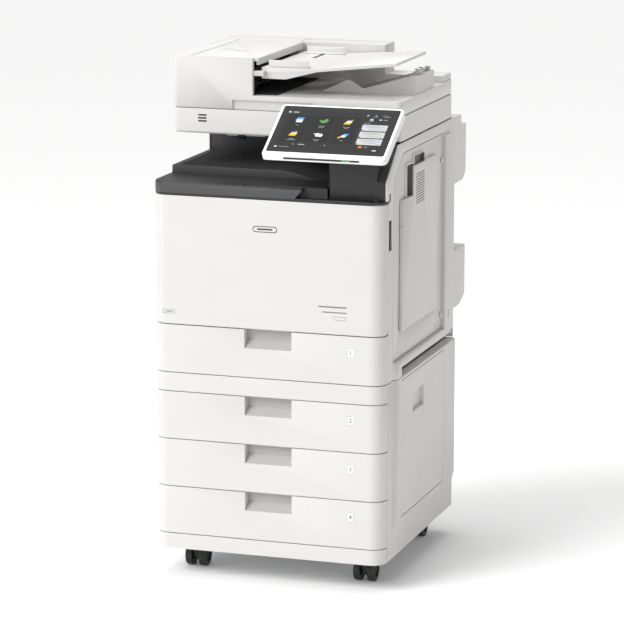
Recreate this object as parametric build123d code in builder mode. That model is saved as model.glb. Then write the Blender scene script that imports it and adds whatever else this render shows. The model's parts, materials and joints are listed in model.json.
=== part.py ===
from build123d import *
from math import cos, radians, sin
import os

os.makedirs("parts", exist_ok=True)

# A floor-standing office copier. Millimetres, +Z up, front towards -Y, origin on the floor under
# the middle of the whole machine. Every x below is measured from the body's left side, every y
# from its front face and every z from the floor; the planes further down do the shift.

# Body
body_width = 511.0
body_depth = 532.0
corner_radius = 32.0
wrap = 34.0                 # how far a front piece runs back round the body's corners
skin = 3.0
gap = 1.6                   # parting gap between covers
fit = 0.05                  # radial clearance of a pin in its hole
clear = 0.5                 # sliding clearance
side_proud = 8.0            # how far the right-hand doors stand out from the side
side_start = 68.0           # y where the proud part of the right side begins

# Heights
caster_height = 61.0
base_strip_height = 33.7
drawer_pitch = 103.9
top_strip_height = 41.0
front_cover_height = 277.0
trim_height = 27.0
output_space = 87.0
scanner_height = 53.0
feeder_height = 111.0

# Levels worked out from the heights
z_base = caster_height
z_drawers = [z_base + base_strip_height + n * drawer_pitch for n in range(3)]
z_strip = z_drawers[2] + drawer_pitch
z_main = z_strip + top_strip_height
z_drawers.append(z_main)
z_cover = z_main + drawer_pitch
z_trim = z_cover + front_cover_height
z_shelf = z_trim + trim_height
z_scanner = z_shelf + output_space
z_feeder = z_scanner + scanner_height
z_top = z_feeder + feeder_height

# Inner steelwork
plate = 3.0
frame_left = 8.0
frame_right = body_width - 26.0
frame_front = 40.0
frame_back = body_depth - 34.0
post = 20.0
foot_plate = 4.0

# Drawers
pull_left = 206.0
pull_width = 104.0
pull_height = 40.0
pull_depth = 20.0
pull_floor = 18.0           # rise of the sloping pull floor
tray_side_gap = 32.0        # room for a runner beside a drawer box
tray_wall = 2.5
tray_floor = 8.0            # above the bottom of the drawer's bay
tray_height = 70.0
tray_length = body_depth - 112.0
runner_rise = 40.0
runner_width = 10.0
drawer_travel = tray_length - 40.0

# Casters
caster_inset_x = 65.0
caster_inset_y = 80.0
wheel_radius = 25.0
wheel_width = 15.0
wheel_pitch = 30.0
axle_radius = 3.0
stem_radius = 5.0
stem_length = 13.0
caster_trail = 16.0

# Front cover and its hinge
cover_depth = 18.0
cover_round = 3.0           # lower edge of the front cover
cover_pivot_y = 9.0
cover_pivot_rise = 20.0
lug_width = 6.0
lug_inset = 60.0
pin_radius = 2.5
lug_radius = 5.0

# Right-hand side
door_rear = body_depth - 100.0
door_depth = 20.0           # part of the door that lies inside the body's side
door_bottom = z_main + 39.0
door_top = z_scanner - 23.0
door_kink_drop = 51.0       # height of the slanted upper front corner
door_kink_run = 67.0
rear_strip_end = body_depth - 40.0
door_pivot_in = 6.0         # from the main door's outer face
ped_pivot_in = 5.0          # from the pedestal door's outer face
door_pivot_edge = 10.0      # from its rear edge
rail_height = 16.0          # rail under the door, above the hand-hold
hand_hold_start = 108.0
hand_hold_depth = 16.0
bypass_front = 109.0
bypass_rear = door_rear - 61.0
bypass_bottom = z_main + 97.0
bypass_top = z_scanner - 59.0
bypass_notch_run = 78.0
bypass_notch_drop = 61.0
bypass_thickness = 7.0
bypass_swing = 5.8          # room round its pivot for the rounded lower edge
groove_rise = 64.0          # groove across the door's foot, above the main unit's floor
groove_width = 1.2
groove_depth = 0.8
lever_y = 36.0
lever_width = 21.0
lever_height = 64.0
lever_bottom = z_main + 280.0
ped_door_front = 108.0
ped_door_rear = door_rear
ped_door_bottom = z_base + 80.0
ped_door_top = z_strip + 34.0
ped_door_thickness = 12.0
door_frame = 14.0           # how far the right panel's proud part reaches into the body
switch_drop = 16.0          # power switch below the output shelf
flare_height = 24.0
skirt_height = 57.0

# Strip above the front cover
lip_height = 6.0            # what is left of it in front of the control tower
strip_end_low = 318.0       # slanted end of its front face, bottom and top
strip_end_high = 334.0
strip_cut_depth = 18.0
pocket_left = 201.0
pocket_right = 330.0
pocket_depth = 6.0

# Output space
shelf_depth = 117.0
deck_rise = 17.0
deck_level_width = 240.0
deck_drop = 26.0
tower_left = 383.0
tower_front = 20.0
tower_step = 18.0           # height where the right side cover starts to lean back
tower_rise = 58.0           # height of the tower's upright front
tower_slant_end = 106.0
liner_back = body_depth - 177.0

# Scanner
scanner_left = 5.0
scanner_front = 120.0
scanner_back = body_depth - 20.0
scanner_radius = 12.0
glass_left = 70.0
glass_width = 364.0
glass_front = 190.0
glass_depth = 226.0
slit_left = 32.0
slit_width = 18.0
glass_thickness = 3.0
carriage_length = 42.0
carriage_travel = 330.0

# Document feeder
block_right = 184.0
feeder_plate = 32.0         # height of the feeder's lower plate
lift_recess_start = 139.0
lift_recess_end = 320.0
lift_recess_height = 21.0
rear_wall_front = scanner_back - 72.0
rear_wall_right = 378.0
plateau_rise = 47.0
cover_left = 44.0
cover_front = 128.0
feeder_cover_thickness = 7.0
feeder_cover_right = 194.0
hinge_radius = 3.0
hinge_rise = 15.0
hinge_from_back = 5.0
hinge_width = 34.0
hinge_inset = 70.0
feed_front = 140.0
feed_rear = rear_wall_front - 8.0
feed_knee = 321.0
feed_right = 494.0
feed_right_rear = feed_rear - 72.0
feed_level = z_feeder + 91.0
feed_rise = 19.0
feed_thickness = 6.0
feed_skirt = 24.0
feed_pivot_x = 203.0
guide_left = 212.0
guide_right = 300.0
guide_height = 15.0
guide_front_y = 146.0
guide_rear_y = feed_rear - 28.0
guide_travel = 70.0
roller_x = 160.0
roller_radius = 12.0
shaft_radius = 4.0
stop_height = 37.0          # block that stops the ejected originals
fin_front = 236.0
fin_rear = 330.0
fin_thickness = 5.0
stop_left = 484.0

# Operation panel
panel_glass_width = 253.0
panel_glass_height = 149.0
panel_side = 6.3
panel_head = 5.0
panel_chin = 14.0
panel_thickness = 22.0
panel_edge = 12.0           # thickness at the lower edge
panel_taper = 34.0          # how far up the panel that thin edge runs out
panel_overhang = 18.5       # beyond the body's right side
panel_tilt = 58.9           # lean back from upright, degrees
panel_y = 17.0
panel_z = z_scanner + 35.2
panel_pivot_back = 14.0
panel_pivot_low = 10.0
panel_knuckle = 11.0
panel_pin = 5.0
bracket_width = 60.0
ear_width = 9.0

# Rear
rear_box_depth = 116.0
rear_box_left = 300.0
rear_box_right = 505.0
upper_box_bottom = z_scanner - 155.0
upper_box_top = z_scanner - 30.0
lower_box_bottom = z_main + 58.0
lower_box_top = z_main + 190.0
inlet_x = 90.0
inlet_z = z_main + 60.0
screw_radius = 1.5
screw_head = 3.5

# The whole machine's box, and from it the body's corner in the model's frame
panel_height = panel_glass_height + panel_head + panel_chin
panel_width = panel_glass_width + 2 * panel_side
lean = radians(panel_tilt)
front_reach = (panel_glass_height / 2 + panel_chin) * sin(lean) - panel_y
X0 = -(body_width + panel_overhang) / 2
Y0 = (front_reach - body_depth - rear_box_depth) / 2
right_edge = body_width + side_proud


def at(x, y, z):
    return Vector(X0 + x, Y0 + y, z)


def level(z):
    """Plane to draw a plan on: (x, y)."""
    return Plane(origin=at(0, 0, z), x_dir=(1, 0, 0), z_dir=(0, 0, 1))


def facing(y):
    """Plane to draw a front view on: (x, z). Extrudes towards the front."""
    return Plane(origin=at(0, y, 0), x_dir=(1, 0, 0), z_dir=(0, -1, 0))


def side(x):
    """Plane to draw a right-hand side view on: (y, z). Extrudes to the right."""
    return Plane(origin=at(x, 0, 0), x_dir=(0, 1, 0), z_dir=(1, 0, 0))


def block(x, y, z, mode=Mode.ADD):
    """Box between two x, two y and two z values."""
    middle = at(sum(x) / 2, sum(y) / 2, sum(z) / 2)
    with Locations(middle):
        Box(x[1] - x[0], y[1] - y[0], z[1] - z[0], mode=mode)


def rod(start, end, radius, mode=Mode.ADD):
    """Round bar or hole between two points."""
    axis = at(*end) - at(*start)
    with Locations(Plane(origin=at(*start), z_dir=axis)):
        Cylinder(radius, axis.length, align=(Align.CENTER, Align.CENTER, Align.MIN), mode=mode)


def edges_at(builder, x=None, y=None, z=None):
    """Edges whose middle is at the given x, y or z."""
    found = []
    for edge in builder.edges():
        middle = edge.center() - at(0, 0, 0)
        wanted = zip((x, y, z), (middle.X, middle.Y, middle.Z))
        if all(value is None or abs(value - real) < 0.01 for value, real in wanted):
            found.append(edge)
    return found


def save(builder, name):
    builder.part.label = name
    export_step(builder.part, f"parts/{name}.step")


def bevel_corner(y, inwards):
    """Cuts the upright corner of the proud right side at y to a slant; inwards is its y direction."""
    with BuildSketch(level(0)) as wedge:
        with BuildLine():
            Polyline((body_width, y), (body_width, y - inwards * 5), (right_edge + 5, y - inwards * 5),
                     (right_edge + 5, y + inwards * (side_proud + 5)), close=True)
        make_face()
    extrude(wedge.sketch, amount=z_scanner, mode=Mode.SUBTRACT)


def front_shell(low, high):
    """Open-backed front piece, round at both ends of the body."""
    with BuildPart() as shell:
        with BuildSketch(level(low)) as outer:
            with Locations((body_width / 2, wrap / 2)):
                Rectangle(body_width, wrap)
            fillet(outer.vertices().group_by(Axis.Y)[0], corner_radius)
        extrude(amount=high - low)
        fillet(shell.edges().group_by(Axis.Z)[0] + shell.edges().group_by(Axis.Z)[-1], 1.2)
        with BuildSketch(level(low + skin)) as inner:
            with Locations((body_width / 2, (wrap + 2 * skin) / 2)):
                Rectangle(body_width - 2 * skin, wrap)
            fillet(inner.vertices().group_by(Axis.Y)[0], corner_radius - skin)
        extrude(amount=high - low - 2 * skin, mode=Mode.SUBTRACT)
    return shell.part


# ---------------------------------------------------------------- pedestal

caster_spots = {
    "front_left": (caster_inset_x, caster_inset_y),
    "front_right": (body_width - caster_inset_x, caster_inset_y),
    "rear_left": (caster_inset_x, body_depth - caster_inset_y),
    "rear_right": (body_width - caster_inset_x, body_depth - caster_inset_y),
}
tray_left = frame_left + tray_side_gap
tray_right = frame_right - tray_side_gap
z_ped_top = z_main - gap / 2


def runners(levels):
    """Ledges that carry the drawers' side flanges."""
    for z in levels:
        top = z + runner_rise - clear
        for x in ((frame_left, tray_left - 2), (tray_right + 2, frame_right)):
            block(x, (frame_front, frame_back), (top - plate, top))


with BuildPart() as pedestal_frame:
    block((frame_left, frame_right), (frame_front, frame_back), (z_base, z_base + foot_plate))
    block((frame_left, frame_right), (frame_front, frame_back), (z_strip + 20, z_strip + 20 + plate))
    for x in ((frame_left, frame_left + post), (frame_right - post, frame_right)):
        for y in ((frame_front, frame_front + post), (frame_back - post, frame_back)):
            block(x, y, (z_base, z_ped_top))
    runners(z_drawers[:3])
    for x, y in caster_spots.values():
        rod((x, y, z_base), (x, y, z_base + stem_length + 3), 12)
        rod((x, y, z_base), (x, y, z_base + stem_length), stem_radius + fit, Mode.SUBTRACT)
save(pedestal_frame, "pedestal_frame")

with BuildPart() as pedestal_front_strips:
    add(front_shell(z_base, z_drawers[0] - gap / 2))
    add(front_shell(z_strip + gap / 2, z_main - gap / 2))
save(pedestal_front_strips, "pedestal_front_strips")

with BuildPart() as pedestal_left_panel:
    block((0, skin), (wrap + gap, body_depth - skin), (z_base, z_ped_top))
    fillet(edges_at(pedestal_left_panel, x=0, z=z_base), 2)
save(pedestal_left_panel, "pedestal_left_panel")

with BuildPart() as pedestal_rear_panel:
    block((0, body_width), (body_depth - skin, body_depth), (z_base, z_ped_top))
    fillet(edges_at(pedestal_rear_panel, x=0, y=body_depth), 2)
    for row in range(6):
        z = z_base + 60 + row * 10
        block((60, 160), (body_depth - 2 * skin, body_depth + 1), (z, z + 4), Mode.SUBTRACT)
save(pedestal_rear_panel, "pedestal_rear_panel")

ped_pivot_y = ped_door_rear - door_pivot_edge
ped_pivot_x = right_edge - ped_pivot_in
with BuildPart() as pedestal_right_panel:
    low = z_base + skirt_height
    block((body_width - skin, body_width), (wrap + gap, body_depth - skin), (z_base, z_ped_top))
    with BuildSketch(facing(body_depth - skin)):
        with BuildLine():
            Polyline((body_width - door_frame, low), (body_width, low), (right_edge, low + flare_height),
                     (right_edge, z_ped_top), (body_width - door_frame, z_ped_top), close=True)
        make_face()
    extrude(amount=body_depth - skin - side_start)
    bevel_corner(side_start, 1)
    bevel_corner(body_depth - skin, -1)
    hollow_x = (body_width - door_frame - 1, right_edge - side_proud - skin)
    hollow_z = (low + skin, z_ped_top - skin)
    block(hollow_x, (side_start + skin, ped_door_front - 2 * skin), hollow_z, Mode.SUBTRACT)
    block(hollow_x, (ped_door_rear + 2 * skin, body_depth - 2 * skin), hollow_z, Mode.SUBTRACT)
    block((body_width - door_frame - 1, right_edge + 1), (ped_door_front, ped_door_rear),
          (ped_door_bottom, ped_door_top), Mode.SUBTRACT)
    rod((ped_pivot_x, ped_pivot_y, ped_door_bottom - 4), (ped_pivot_x, ped_pivot_y, ped_door_top + 4),
        pin_radius + fit, Mode.SUBTRACT)
save(pedestal_right_panel, "pedestal_right_panel")

with BuildPart() as pedestal_door:
    block((right_edge - ped_door_thickness, right_edge), (ped_door_front + gap, ped_door_rear - gap),
          (ped_door_bottom + gap, ped_door_top - gap))
    fillet(edges_at(pedestal_door, x=right_edge), 1.5)
    fillet(edges_at(pedestal_door, y=ped_door_rear - gap, x=right_edge - ped_door_thickness), 2)
    block((right_edge - ped_door_thickness - 1, right_edge - skin),
          (ped_door_front + 8, ped_door_rear - 24), (ped_door_bottom + 8, ped_door_top - 8), Mode.SUBTRACT)
    grip_z = ped_door_top - 88
    block((right_edge - ped_door_thickness, right_edge - skin), (ped_door_front + 80, ped_door_front + 170),
          (grip_z - 4, grip_z + 49))
    block((right_edge - ped_door_thickness + skin, right_edge + 1),
          (ped_door_front + 84, ped_door_front + 166), (grip_z, grip_z + 45), Mode.SUBTRACT)
    rod((ped_pivot_x, ped_pivot_y, ped_door_bottom - 3), (ped_pivot_x, ped_pivot_y, ped_door_bottom + 8),
        pin_radius)
    rod((ped_pivot_x, ped_pivot_y, ped_door_top - 8), (ped_pivot_x, ped_pivot_y, ped_door_top + 3),
        pin_radius)
save(pedestal_door, "pedestal_door")

# ---------------------------------------------------------------- casters

for name, (x, y) in caster_spots.items():
    wheel_y = y + caster_trail
    cheek = (wheel_pitch - wheel_width) / 2 - 1
    with BuildPart() as caster_fork:
        with BuildSketch(side(x - cheek)):
            with Locations((wheel_y, wheel_radius)):
                Circle(13)
            with BuildLine():
                Polyline((wheel_y - 12, wheel_radius), (y - 14, z_base - 6), (y + 16, z_base - 6),
                         (wheel_y + 12, wheel_radius), close=True)
            make_face()
        extrude(amount=2 * cheek)
        rod((x, y, z_base - 8), (x, y, z_base - clear), 17)
        rod((x, y, z_base - clear), (x, y, z_base + stem_length - 1), stem_radius)
        rod((x - 20, wheel_y, wheel_radius), (x + 20, wheel_y, wheel_radius), axle_radius + fit,
            Mode.SUBTRACT)
    save(caster_fork, f"caster_fork_{name}")

    with BuildPart() as caster_wheels:
        outer = (wheel_pitch + wheel_width) / 2
        inner = (wheel_pitch - wheel_width) / 2
        for start, end in ((-outer, -inner), (inner, outer)):
            rod((x + start, wheel_y, wheel_radius), (x + end, wheel_y, wheel_radius), wheel_radius)
        fillet(caster_wheels.edges().filter_by(GeomType.CIRCLE), 2)
        for start, end in ((-outer - 1, -outer + 3), (outer - 3, outer + 1)):
            rod((x + start, wheel_y, wheel_radius), (x + end, wheel_y, wheel_radius), 15, Mode.SUBTRACT)
        rod((x - outer + 1, wheel_y, wheel_radius), (x + outer - 1, wheel_y, wheel_radius), axle_radius)
    save(caster_wheels, f"caster_wheels_{name}")

# ---------------------------------------------------------------- drawers

for number, z in zip((4, 3, 2, 1), z_drawers):
    low = z + gap / 2
    high = z + drawer_pitch - gap / 2
    pull = (pull_left, pull_left + pull_width)
    with BuildPart() as drawer_front:
        add(front_shell(low, high))
        block((pull[0] - skin, pull[1] + skin), (1, pull_depth + skin),
              (high - pull_height - skin, high - 1))
        with BuildSketch(side(pull[0])):
            with BuildLine():
                Polyline((-1, high - pull_height), (2, high - pull_height),
                         (pull_depth, high - pull_height + pull_floor), (pull_depth, high + 1),
                         (-1, high + 1), close=True)
            make_face()
        extrude(amount=pull_width, mode=Mode.SUBTRACT)
    save(drawer_front, f"drawer_front_{number}")

    with BuildPart() as drawer_tray:
        back = wrap + tray_length
        floor = z + tray_floor
        top = floor + tray_height
        block((frame_left, frame_right), (wrap, wrap + tray_wall), (low + 4, high - 6))
        block((tray_left, tray_right), (wrap, back), (floor, top))
        block((tray_left + tray_wall, tray_right - tray_wall), (wrap + tray_wall, back - tray_wall),
              (floor + tray_wall, top + 1), Mode.SUBTRACT)
        for x in ((tray_left - runner_width, tray_left), (tray_right, tray_right + runner_width)):
            block(x, (wrap + 8, back), (z + runner_rise, z + runner_rise + plate))
        middle = wrap + tray_length / 2
        for y in (middle - 112, middle + 108):
            block((tray_left + 110, tray_left + 230), (y, y + 4), (floor + 1, top - 8))
            block((tray_left + 150, tray_left + 190), (y, y + 4), (floor + 1, top - 2))
        block((tray_left + 52, tray_left + 56), (middle - 40, middle + 40), (floor + 1, top - 8))
    save(drawer_tray, f"drawer_tray_{number}")

# ---------------------------------------------------------------- main unit: frame and covers

z_inner_top = z_shelf - 22
bottle_spots = [frame_left + 52 + n * 96 for n in range(4)]
bottle_z = z_inner_top - 48
bottle_radius = 26.0
lug_spots = (lug_inset, body_width - lug_inset)
cover_pivot_z = z_cover + gap / 2 + cover_pivot_rise
lever_pivot_z = lever_bottom + 8

with BuildPart() as main_frame:
    for x in ((frame_left, frame_left + plate), (frame_right - plate, frame_right)):
        block(x, (frame_front, frame_back), (z_main + gap / 2, z_inner_top))
    runners(z_drawers[3:])
    block((frame_left, frame_right), (frame_front, frame_back), (z_cover + plate, z_cover + 2 * plate))
    block((frame_left, frame_right), (frame_back - plate, frame_back), (z_main + gap / 2, z_inner_top))
    block((frame_left, frame_right), (frame_front, frame_front + plate), (z_cover + plate, z_inner_top))
    block((frame_left, frame_right), (liner_back + 8, frame_back), (z_inner_top - plate, z_inner_top))
    for x in (frame_left, frame_right - post):
        block((x, x + post), (frame_back - 30, frame_back), (z_inner_top - plate, z_scanner - gap))
    block((frame_right - plate, frame_right), (160, 190),
          (z_inner_top - 20, z_scanner - gap - skin - clear))
    for x in bottle_spots:
        rod((x, frame_front - 1, bottle_z), (x, frame_front + plate + 1, bottle_z), bottle_radius + 2,
            Mode.SUBTRACT)
    block((frame_right - 60, frame_right + 1), (180, 420), (z_cover + 40, z_inner_top - 40), Mode.SUBTRACT)
    for x in lug_spots:
        with BuildSketch(side(x - lug_width / 2)):
            with BuildLine():
                Polyline((cover_pivot_y, cover_pivot_z - lug_radius),
                         (frame_front + 1, cover_pivot_z - lug_radius),
                         (frame_front + 1, cover_pivot_z + lug_radius),
                         (cover_pivot_y, cover_pivot_z + lug_radius),
                         close=True)
            make_face()
            with Locations((cover_pivot_y, cover_pivot_z)):
                Circle(lug_radius)
                Circle(pin_radius + fit, mode=Mode.SUBTRACT)
        extrude(amount=lug_width)
save(main_frame, "main_frame")

with BuildPart() as left_cover:
    with BuildSketch(side(0)):
        with BuildLine():
            Polyline((wrap + gap, z_main + gap / 2), (body_depth - skin, z_main + gap / 2),
                     (body_depth - skin, z_scanner - gap), (liner_back - 3, z_scanner - gap),
                     (liner_back - 3, z_shelf + deck_rise - 2), (shelf_depth + 6, z_shelf + deck_rise - 2),
                     (shelf_depth, z_shelf - skin - clear), (wrap + gap, z_shelf - skin - clear),
                     close=True)
        make_face()
    extrude(amount=skin)
save(left_cover, "left_cover")

with BuildPart() as rear_cover:
    block((0, body_width), (body_depth - skin, body_depth), (z_main + gap / 2, z_scanner - gap))
    block((inlet_x - 14, inlet_x + 14), (body_depth - 5, body_depth + 1), (inlet_z - 10, inlet_z + 10),
          Mode.SUBTRACT)
    for row in range(8):
        z = z_main + 250 + row * 12
        block((60, 180), (body_depth - 5, body_depth + 1), (z, z + 5), Mode.SUBTRACT)
    screw_spots = [(x, z) for x in (12, 220) for z in (z_main + 20, z_main + 180, z_main + 380)]
    for x, z in screw_spots:
        rod((x, body_depth - 5, z), (x, body_depth + 1, z), screw_radius + fit, Mode.SUBTRACT)
save(rear_cover, "rear_cover")

with BuildPart() as cover_screws:
    for x, z in screw_spots:
        rod((x, body_depth - skin - 4, z), (x, body_depth + 2, z), screw_radius)
        rod((x, body_depth, z), (x, body_depth + 2, z), screw_head)
save(cover_screws, "cover_screws")


def door_outline(inset):
    """Right door seen from the side, with its slanted upper front corner."""
    front = side_start + inset
    rear = door_rear - inset
    slope = door_kink_drop / door_kink_run
    shift = inset * ((1 + slope ** 2) ** 0.5 - slope)
    return [(front, door_bottom + inset), (rear, door_bottom + inset), (rear, door_top - inset),
            (side_start + door_kink_run + shift / slope, door_top - inset),
            (front, door_top - door_kink_drop - shift)]


door_pivot_x = right_edge - door_pivot_in
door_pivot_y = door_rear - door_pivot_edge
door_hinges = (door_bottom + 30, door_top - 60)


def hinge_arm(z):
    """Arm from the rear strip, inwards round the door's rear edge and out to the hinge pin."""
    elbow = (door_pivot_x - 17, door_pivot_x - 12)
    block((elbow[0], door_pivot_x), (door_pivot_y - 3, door_pivot_y + 3), (z, z + lug_width))
    block(elbow, (door_pivot_y - 3, door_rear + gap + 6), (z, z + lug_width))
    block((elbow[0], body_width), (door_rear + gap, door_rear + gap + 6), (z, z + lug_width))
    rod((door_pivot_x, door_pivot_y, z), (door_pivot_x, door_pivot_y, z + lug_width), 4)
    rod((door_pivot_x, door_pivot_y, z - 1), (door_pivot_x, door_pivot_y, z + lug_width + 1),
        pin_radius + fit, Mode.SUBTRACT)


switch_z = z_shelf - switch_drop
z_lip = z_trim + lip_height
rail_top = door_bottom - gap
rail_low = rail_top - rail_height
side_slant = [(tower_front, z_shelf + tower_step), (tower_slant_end, z_scanner - gap)]
with BuildPart() as right_side_cover:
    with BuildSketch(side(body_width - skin)):
        with BuildLine():
            Polyline((wrap + gap, z_main + gap / 2), (body_depth - skin, z_main + gap / 2),
                     (body_depth - skin, z_scanner - gap), side_slant[1], side_slant[0],
                     (tower_front, z_lip + clear), (wrap + gap, z_lip + clear), close=True)
        make_face()
    extrude(amount=skin)
    with BuildSketch(side(body_width - skin - 1)):
        with BuildLine():
            Polyline(*door_outline(0), close=True)
        make_face()
    extrude(amount=skin + 2, mode=Mode.SUBTRACT)
    block((body_width - skin, right_edge), (door_rear + gap, rear_strip_end), (rail_low, door_top - 6))
    block((body_width - skin, right_edge), (side_start, rear_strip_end), (rail_low, rail_top))
    block((body_width - skin, right_edge), (side_start, hand_hold_start), (z_main + gap / 2, rail_top))
    bevel_corner(side_start, 1)
    bevel_corner(rear_strip_end, -1)
    hold = (hand_hold_start, body_depth - skin)
    block((body_width - hand_hold_depth - skin, body_width), hold, (z_main + gap / 2, rail_low + skin))
    block((body_width - hand_hold_depth, body_width + 1), (hold[0], hold[1] + 1), (z_main, rail_low),
          Mode.SUBTRACT)
    block((body_width - skin - 1, body_width + 1), (lever_y, lever_y + lever_width),
          (lever_bottom, lever_bottom + lever_height), Mode.SUBTRACT)
    block((body_width - skin - 1, body_width + 1), (lever_y + 2, lever_y + 12),
          (switch_z - 9, switch_z + 9),
          Mode.SUBTRACT)
    for z in door_hinges:
        hinge_arm(z)
save(right_side_cover, "right_side_cover")

bypass_outline = [
    (bypass_front, bypass_bottom), (bypass_rear, bypass_bottom), (bypass_rear, bypass_top),
    (bypass_front + bypass_notch_run, bypass_top),
    (bypass_front + bypass_notch_run, bypass_top - bypass_notch_drop),
    (bypass_front, bypass_top - bypass_notch_drop),
]
bypass_pivot_x = right_edge - 4
bypass_pivot_z = bypass_bottom + 5
grip_front = bypass_front + 40
with BuildPart() as right_door:
    with BuildSketch(side(body_width - door_depth)):
        with BuildLine():
            Polyline(*door_outline(gap), close=True)
        make_face()
    extrude(amount=door_depth)
    with BuildSketch(side(body_width)) as base:
        with BuildLine():
            Polyline(*door_outline(gap), close=True)
        make_face()
    with BuildSketch(side(right_edge)) as face:
        with BuildLine():
            inner_face = door_outline(gap + side_proud)
            Polyline((inner_face[0][0], door_bottom + gap), (door_rear - gap, door_bottom + gap),
                     (door_rear - gap, inner_face[2][1]), *inner_face[3:], close=True)
        make_face()
    loft([base.sketch.face(), face.sketch.face()])
    with BuildSketch(side(body_width - door_depth - 1)):
        with BuildLine():
            Polyline(*door_outline(gap + 3 * skin), close=True)
        make_face()
    extrude(amount=door_depth + side_proud - skin - bypass_thickness - 1, mode=Mode.SUBTRACT)
    grip_x = (right_edge - 16, right_edge + 1)
    block((grip_x[0] - skin, right_edge - skin), (grip_front - skin, grip_front + 37 + skin),
          (bypass_top - 66, bypass_top + 10))
    block((right_edge - 12, right_edge - skin), (bypass_front + 90, bypass_front + 166),
          (bypass_top + 4, bypass_top + 22))
    with BuildSketch(side(right_edge - bypass_thickness - clear)):
        with BuildLine():
            Polyline(*bypass_outline, close=True)
        make_face()
        offset(amount=gap)
    extrude(amount=bypass_thickness + 2, mode=Mode.SUBTRACT)
    block(grip_x, (grip_front, grip_front + 34), (bypass_top - 62, bypass_top + 7), Mode.SUBTRACT)
    block((right_edge - 9, right_edge + 1), (bypass_front + 94, bypass_front + 160),
          (bypass_top - 2, bypass_top + 19), Mode.SUBTRACT)
    for z in door_hinges:
        block((body_width - door_depth - 1, door_pivot_x + 4.4), (door_pivot_y - 5, door_rear),
              (z - 1, z + lug_width + 1), Mode.SUBTRACT)
        rod((door_pivot_x, door_pivot_y, z - 4), (door_pivot_x, door_pivot_y, z + lug_width + 4),
            pin_radius)
    rod((bypass_pivot_x, bypass_front - 5, bypass_pivot_z),
        (bypass_pivot_x, bypass_rear + 5, bypass_pivot_z),
        1.5 + fit, Mode.SUBTRACT)
    rod((bypass_pivot_x, bypass_front - gap, bypass_pivot_z),
        (bypass_pivot_x, bypass_rear + gap, bypass_pivot_z),
        bypass_swing, Mode.SUBTRACT)
    groove_z = z_main + groove_rise
    block((right_edge - groove_depth, right_edge + 1), (bypass_front + 11, bypass_rear - 11),
          (groove_z, groove_z + groove_width), Mode.SUBTRACT)
save(right_door, "right_door")

with BuildPart() as bypass_tray:
    with BuildSketch(side(right_edge - bypass_thickness)):
        with BuildLine():
            Polyline(*bypass_outline, close=True)
        make_face()
    extrude(amount=bypass_thickness)
    fillet(edges_at(bypass_tray, y=bypass_rear, z=bypass_top), 6)
    fillet(edges_at(bypass_tray, x=right_edge, z=bypass_bottom), 3)
    fillet(edges_at(bypass_tray, x=right_edge - bypass_thickness, z=bypass_bottom), 3)
    block((right_edge - bypass_thickness - 1, right_edge - skin), (bypass_front + 96, bypass_rear - 8),
          (bypass_bottom + 60, bypass_top - 100), Mode.SUBTRACT)
    for row in range(12):
        z = bypass_top - 20 - row * 5.6
        block((right_edge - bypass_thickness - 1, right_edge + 1), (bypass_front + 98, bypass_front + 160),
              (z - 1.2, z + 1.2), Mode.SUBTRACT)
    for y in (bypass_front - 3, bypass_rear - 5):
        rod((bypass_pivot_x, y, bypass_pivot_z), (bypass_pivot_x, y + 8, bypass_pivot_z), 1.5)
save(bypass_tray, "bypass_tray")

with BuildPart() as door_release_lever:
    pivot = body_width - 7
    block((body_width - 11, body_width - 4), (lever_y + 1, lever_y + lever_width - 1),
          (lever_bottom + 1, lever_bottom + lever_height - 1))
    fillet(edges_at(door_release_lever, z=lever_bottom + 1), 2)
    rod((pivot, lever_y - 3, lever_pivot_z), (pivot, lever_y + lever_width + 3, lever_pivot_z), 2)
save(door_release_lever, "door_release_lever")

with BuildPart() as power_switch:
    block((body_width - 8, body_width - 0.5), (lever_y + 3, lever_y + 11), (switch_z - 8, switch_z + 8))
    chamfer(edges_at(power_switch, x=body_width - 0.5, z=switch_z - 8), 2)
    rod((body_width - 6, lever_y, switch_z), (body_width - 6, lever_y + 14, switch_z), 1.5)
save(power_switch, "power_switch")

cover_low = z_cover + gap / 2
cover_high = z_trim - gap / 2
with BuildPart() as front_cover:
    with BuildSketch(level(cover_low)) as plan:
        with Locations((body_width / 2, wrap / 2)):
            Rectangle(body_width, wrap)
        fillet(plan.vertices().group_by(Axis.Y)[0], corner_radius)
    extrude(amount=cover_high - cover_low)
    fillet(front_cover.edges().group_by(Axis.Z)[0], cover_round)
    fillet(front_cover.edges().group_by(Axis.Z)[-1], 1.2)
    with BuildSketch(level(cover_low + skin)) as hollow:
        with Locations((body_width / 2, (wrap + 2 * skin) / 2)):
            Rectangle(body_width - 2 * skin, wrap)
        fillet(hollow.vertices().group_by(Axis.Y)[0], corner_radius - skin)
    extrude(amount=cover_high - cover_low - 2 * skin, mode=Mode.SUBTRACT)
    block((corner_radius, body_width - corner_radius), (cover_depth, wrap + 1),
          (cover_low - 1, cover_high + 1),
          Mode.SUBTRACT)
    with BuildSketch(side(-1)) as swing_room:
        with BuildLine():
            Polyline((wrap + 1, cover_pivot_z - 8), (wrap, cover_pivot_z - 8),
                     (cover_pivot_y + 16.5, cover_low - 1),
                     (wrap + 1, cover_low - 1), close=True)
        make_face()
    extrude(swing_room.sketch, amount=body_width + 2, mode=Mode.SUBTRACT)
    for x in lug_spots:
        slot = (x - lug_width / 2 - 1, x + lug_width / 2 + 1)
        block(slot, (4, wrap), (cover_low - 1, cover_low + skin + 1), Mode.SUBTRACT)
        for start in (slot[0] - 4, slot[1]):
            block((start, start + 4), (2, cover_depth), (cover_low + 1, cover_pivot_z + 6))
        rod((slot[0] - 2, cover_pivot_y, cover_pivot_z), (slot[1] + 2, cover_pivot_y, cover_pivot_z),
            pin_radius)
save(front_cover, "front_cover")

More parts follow.
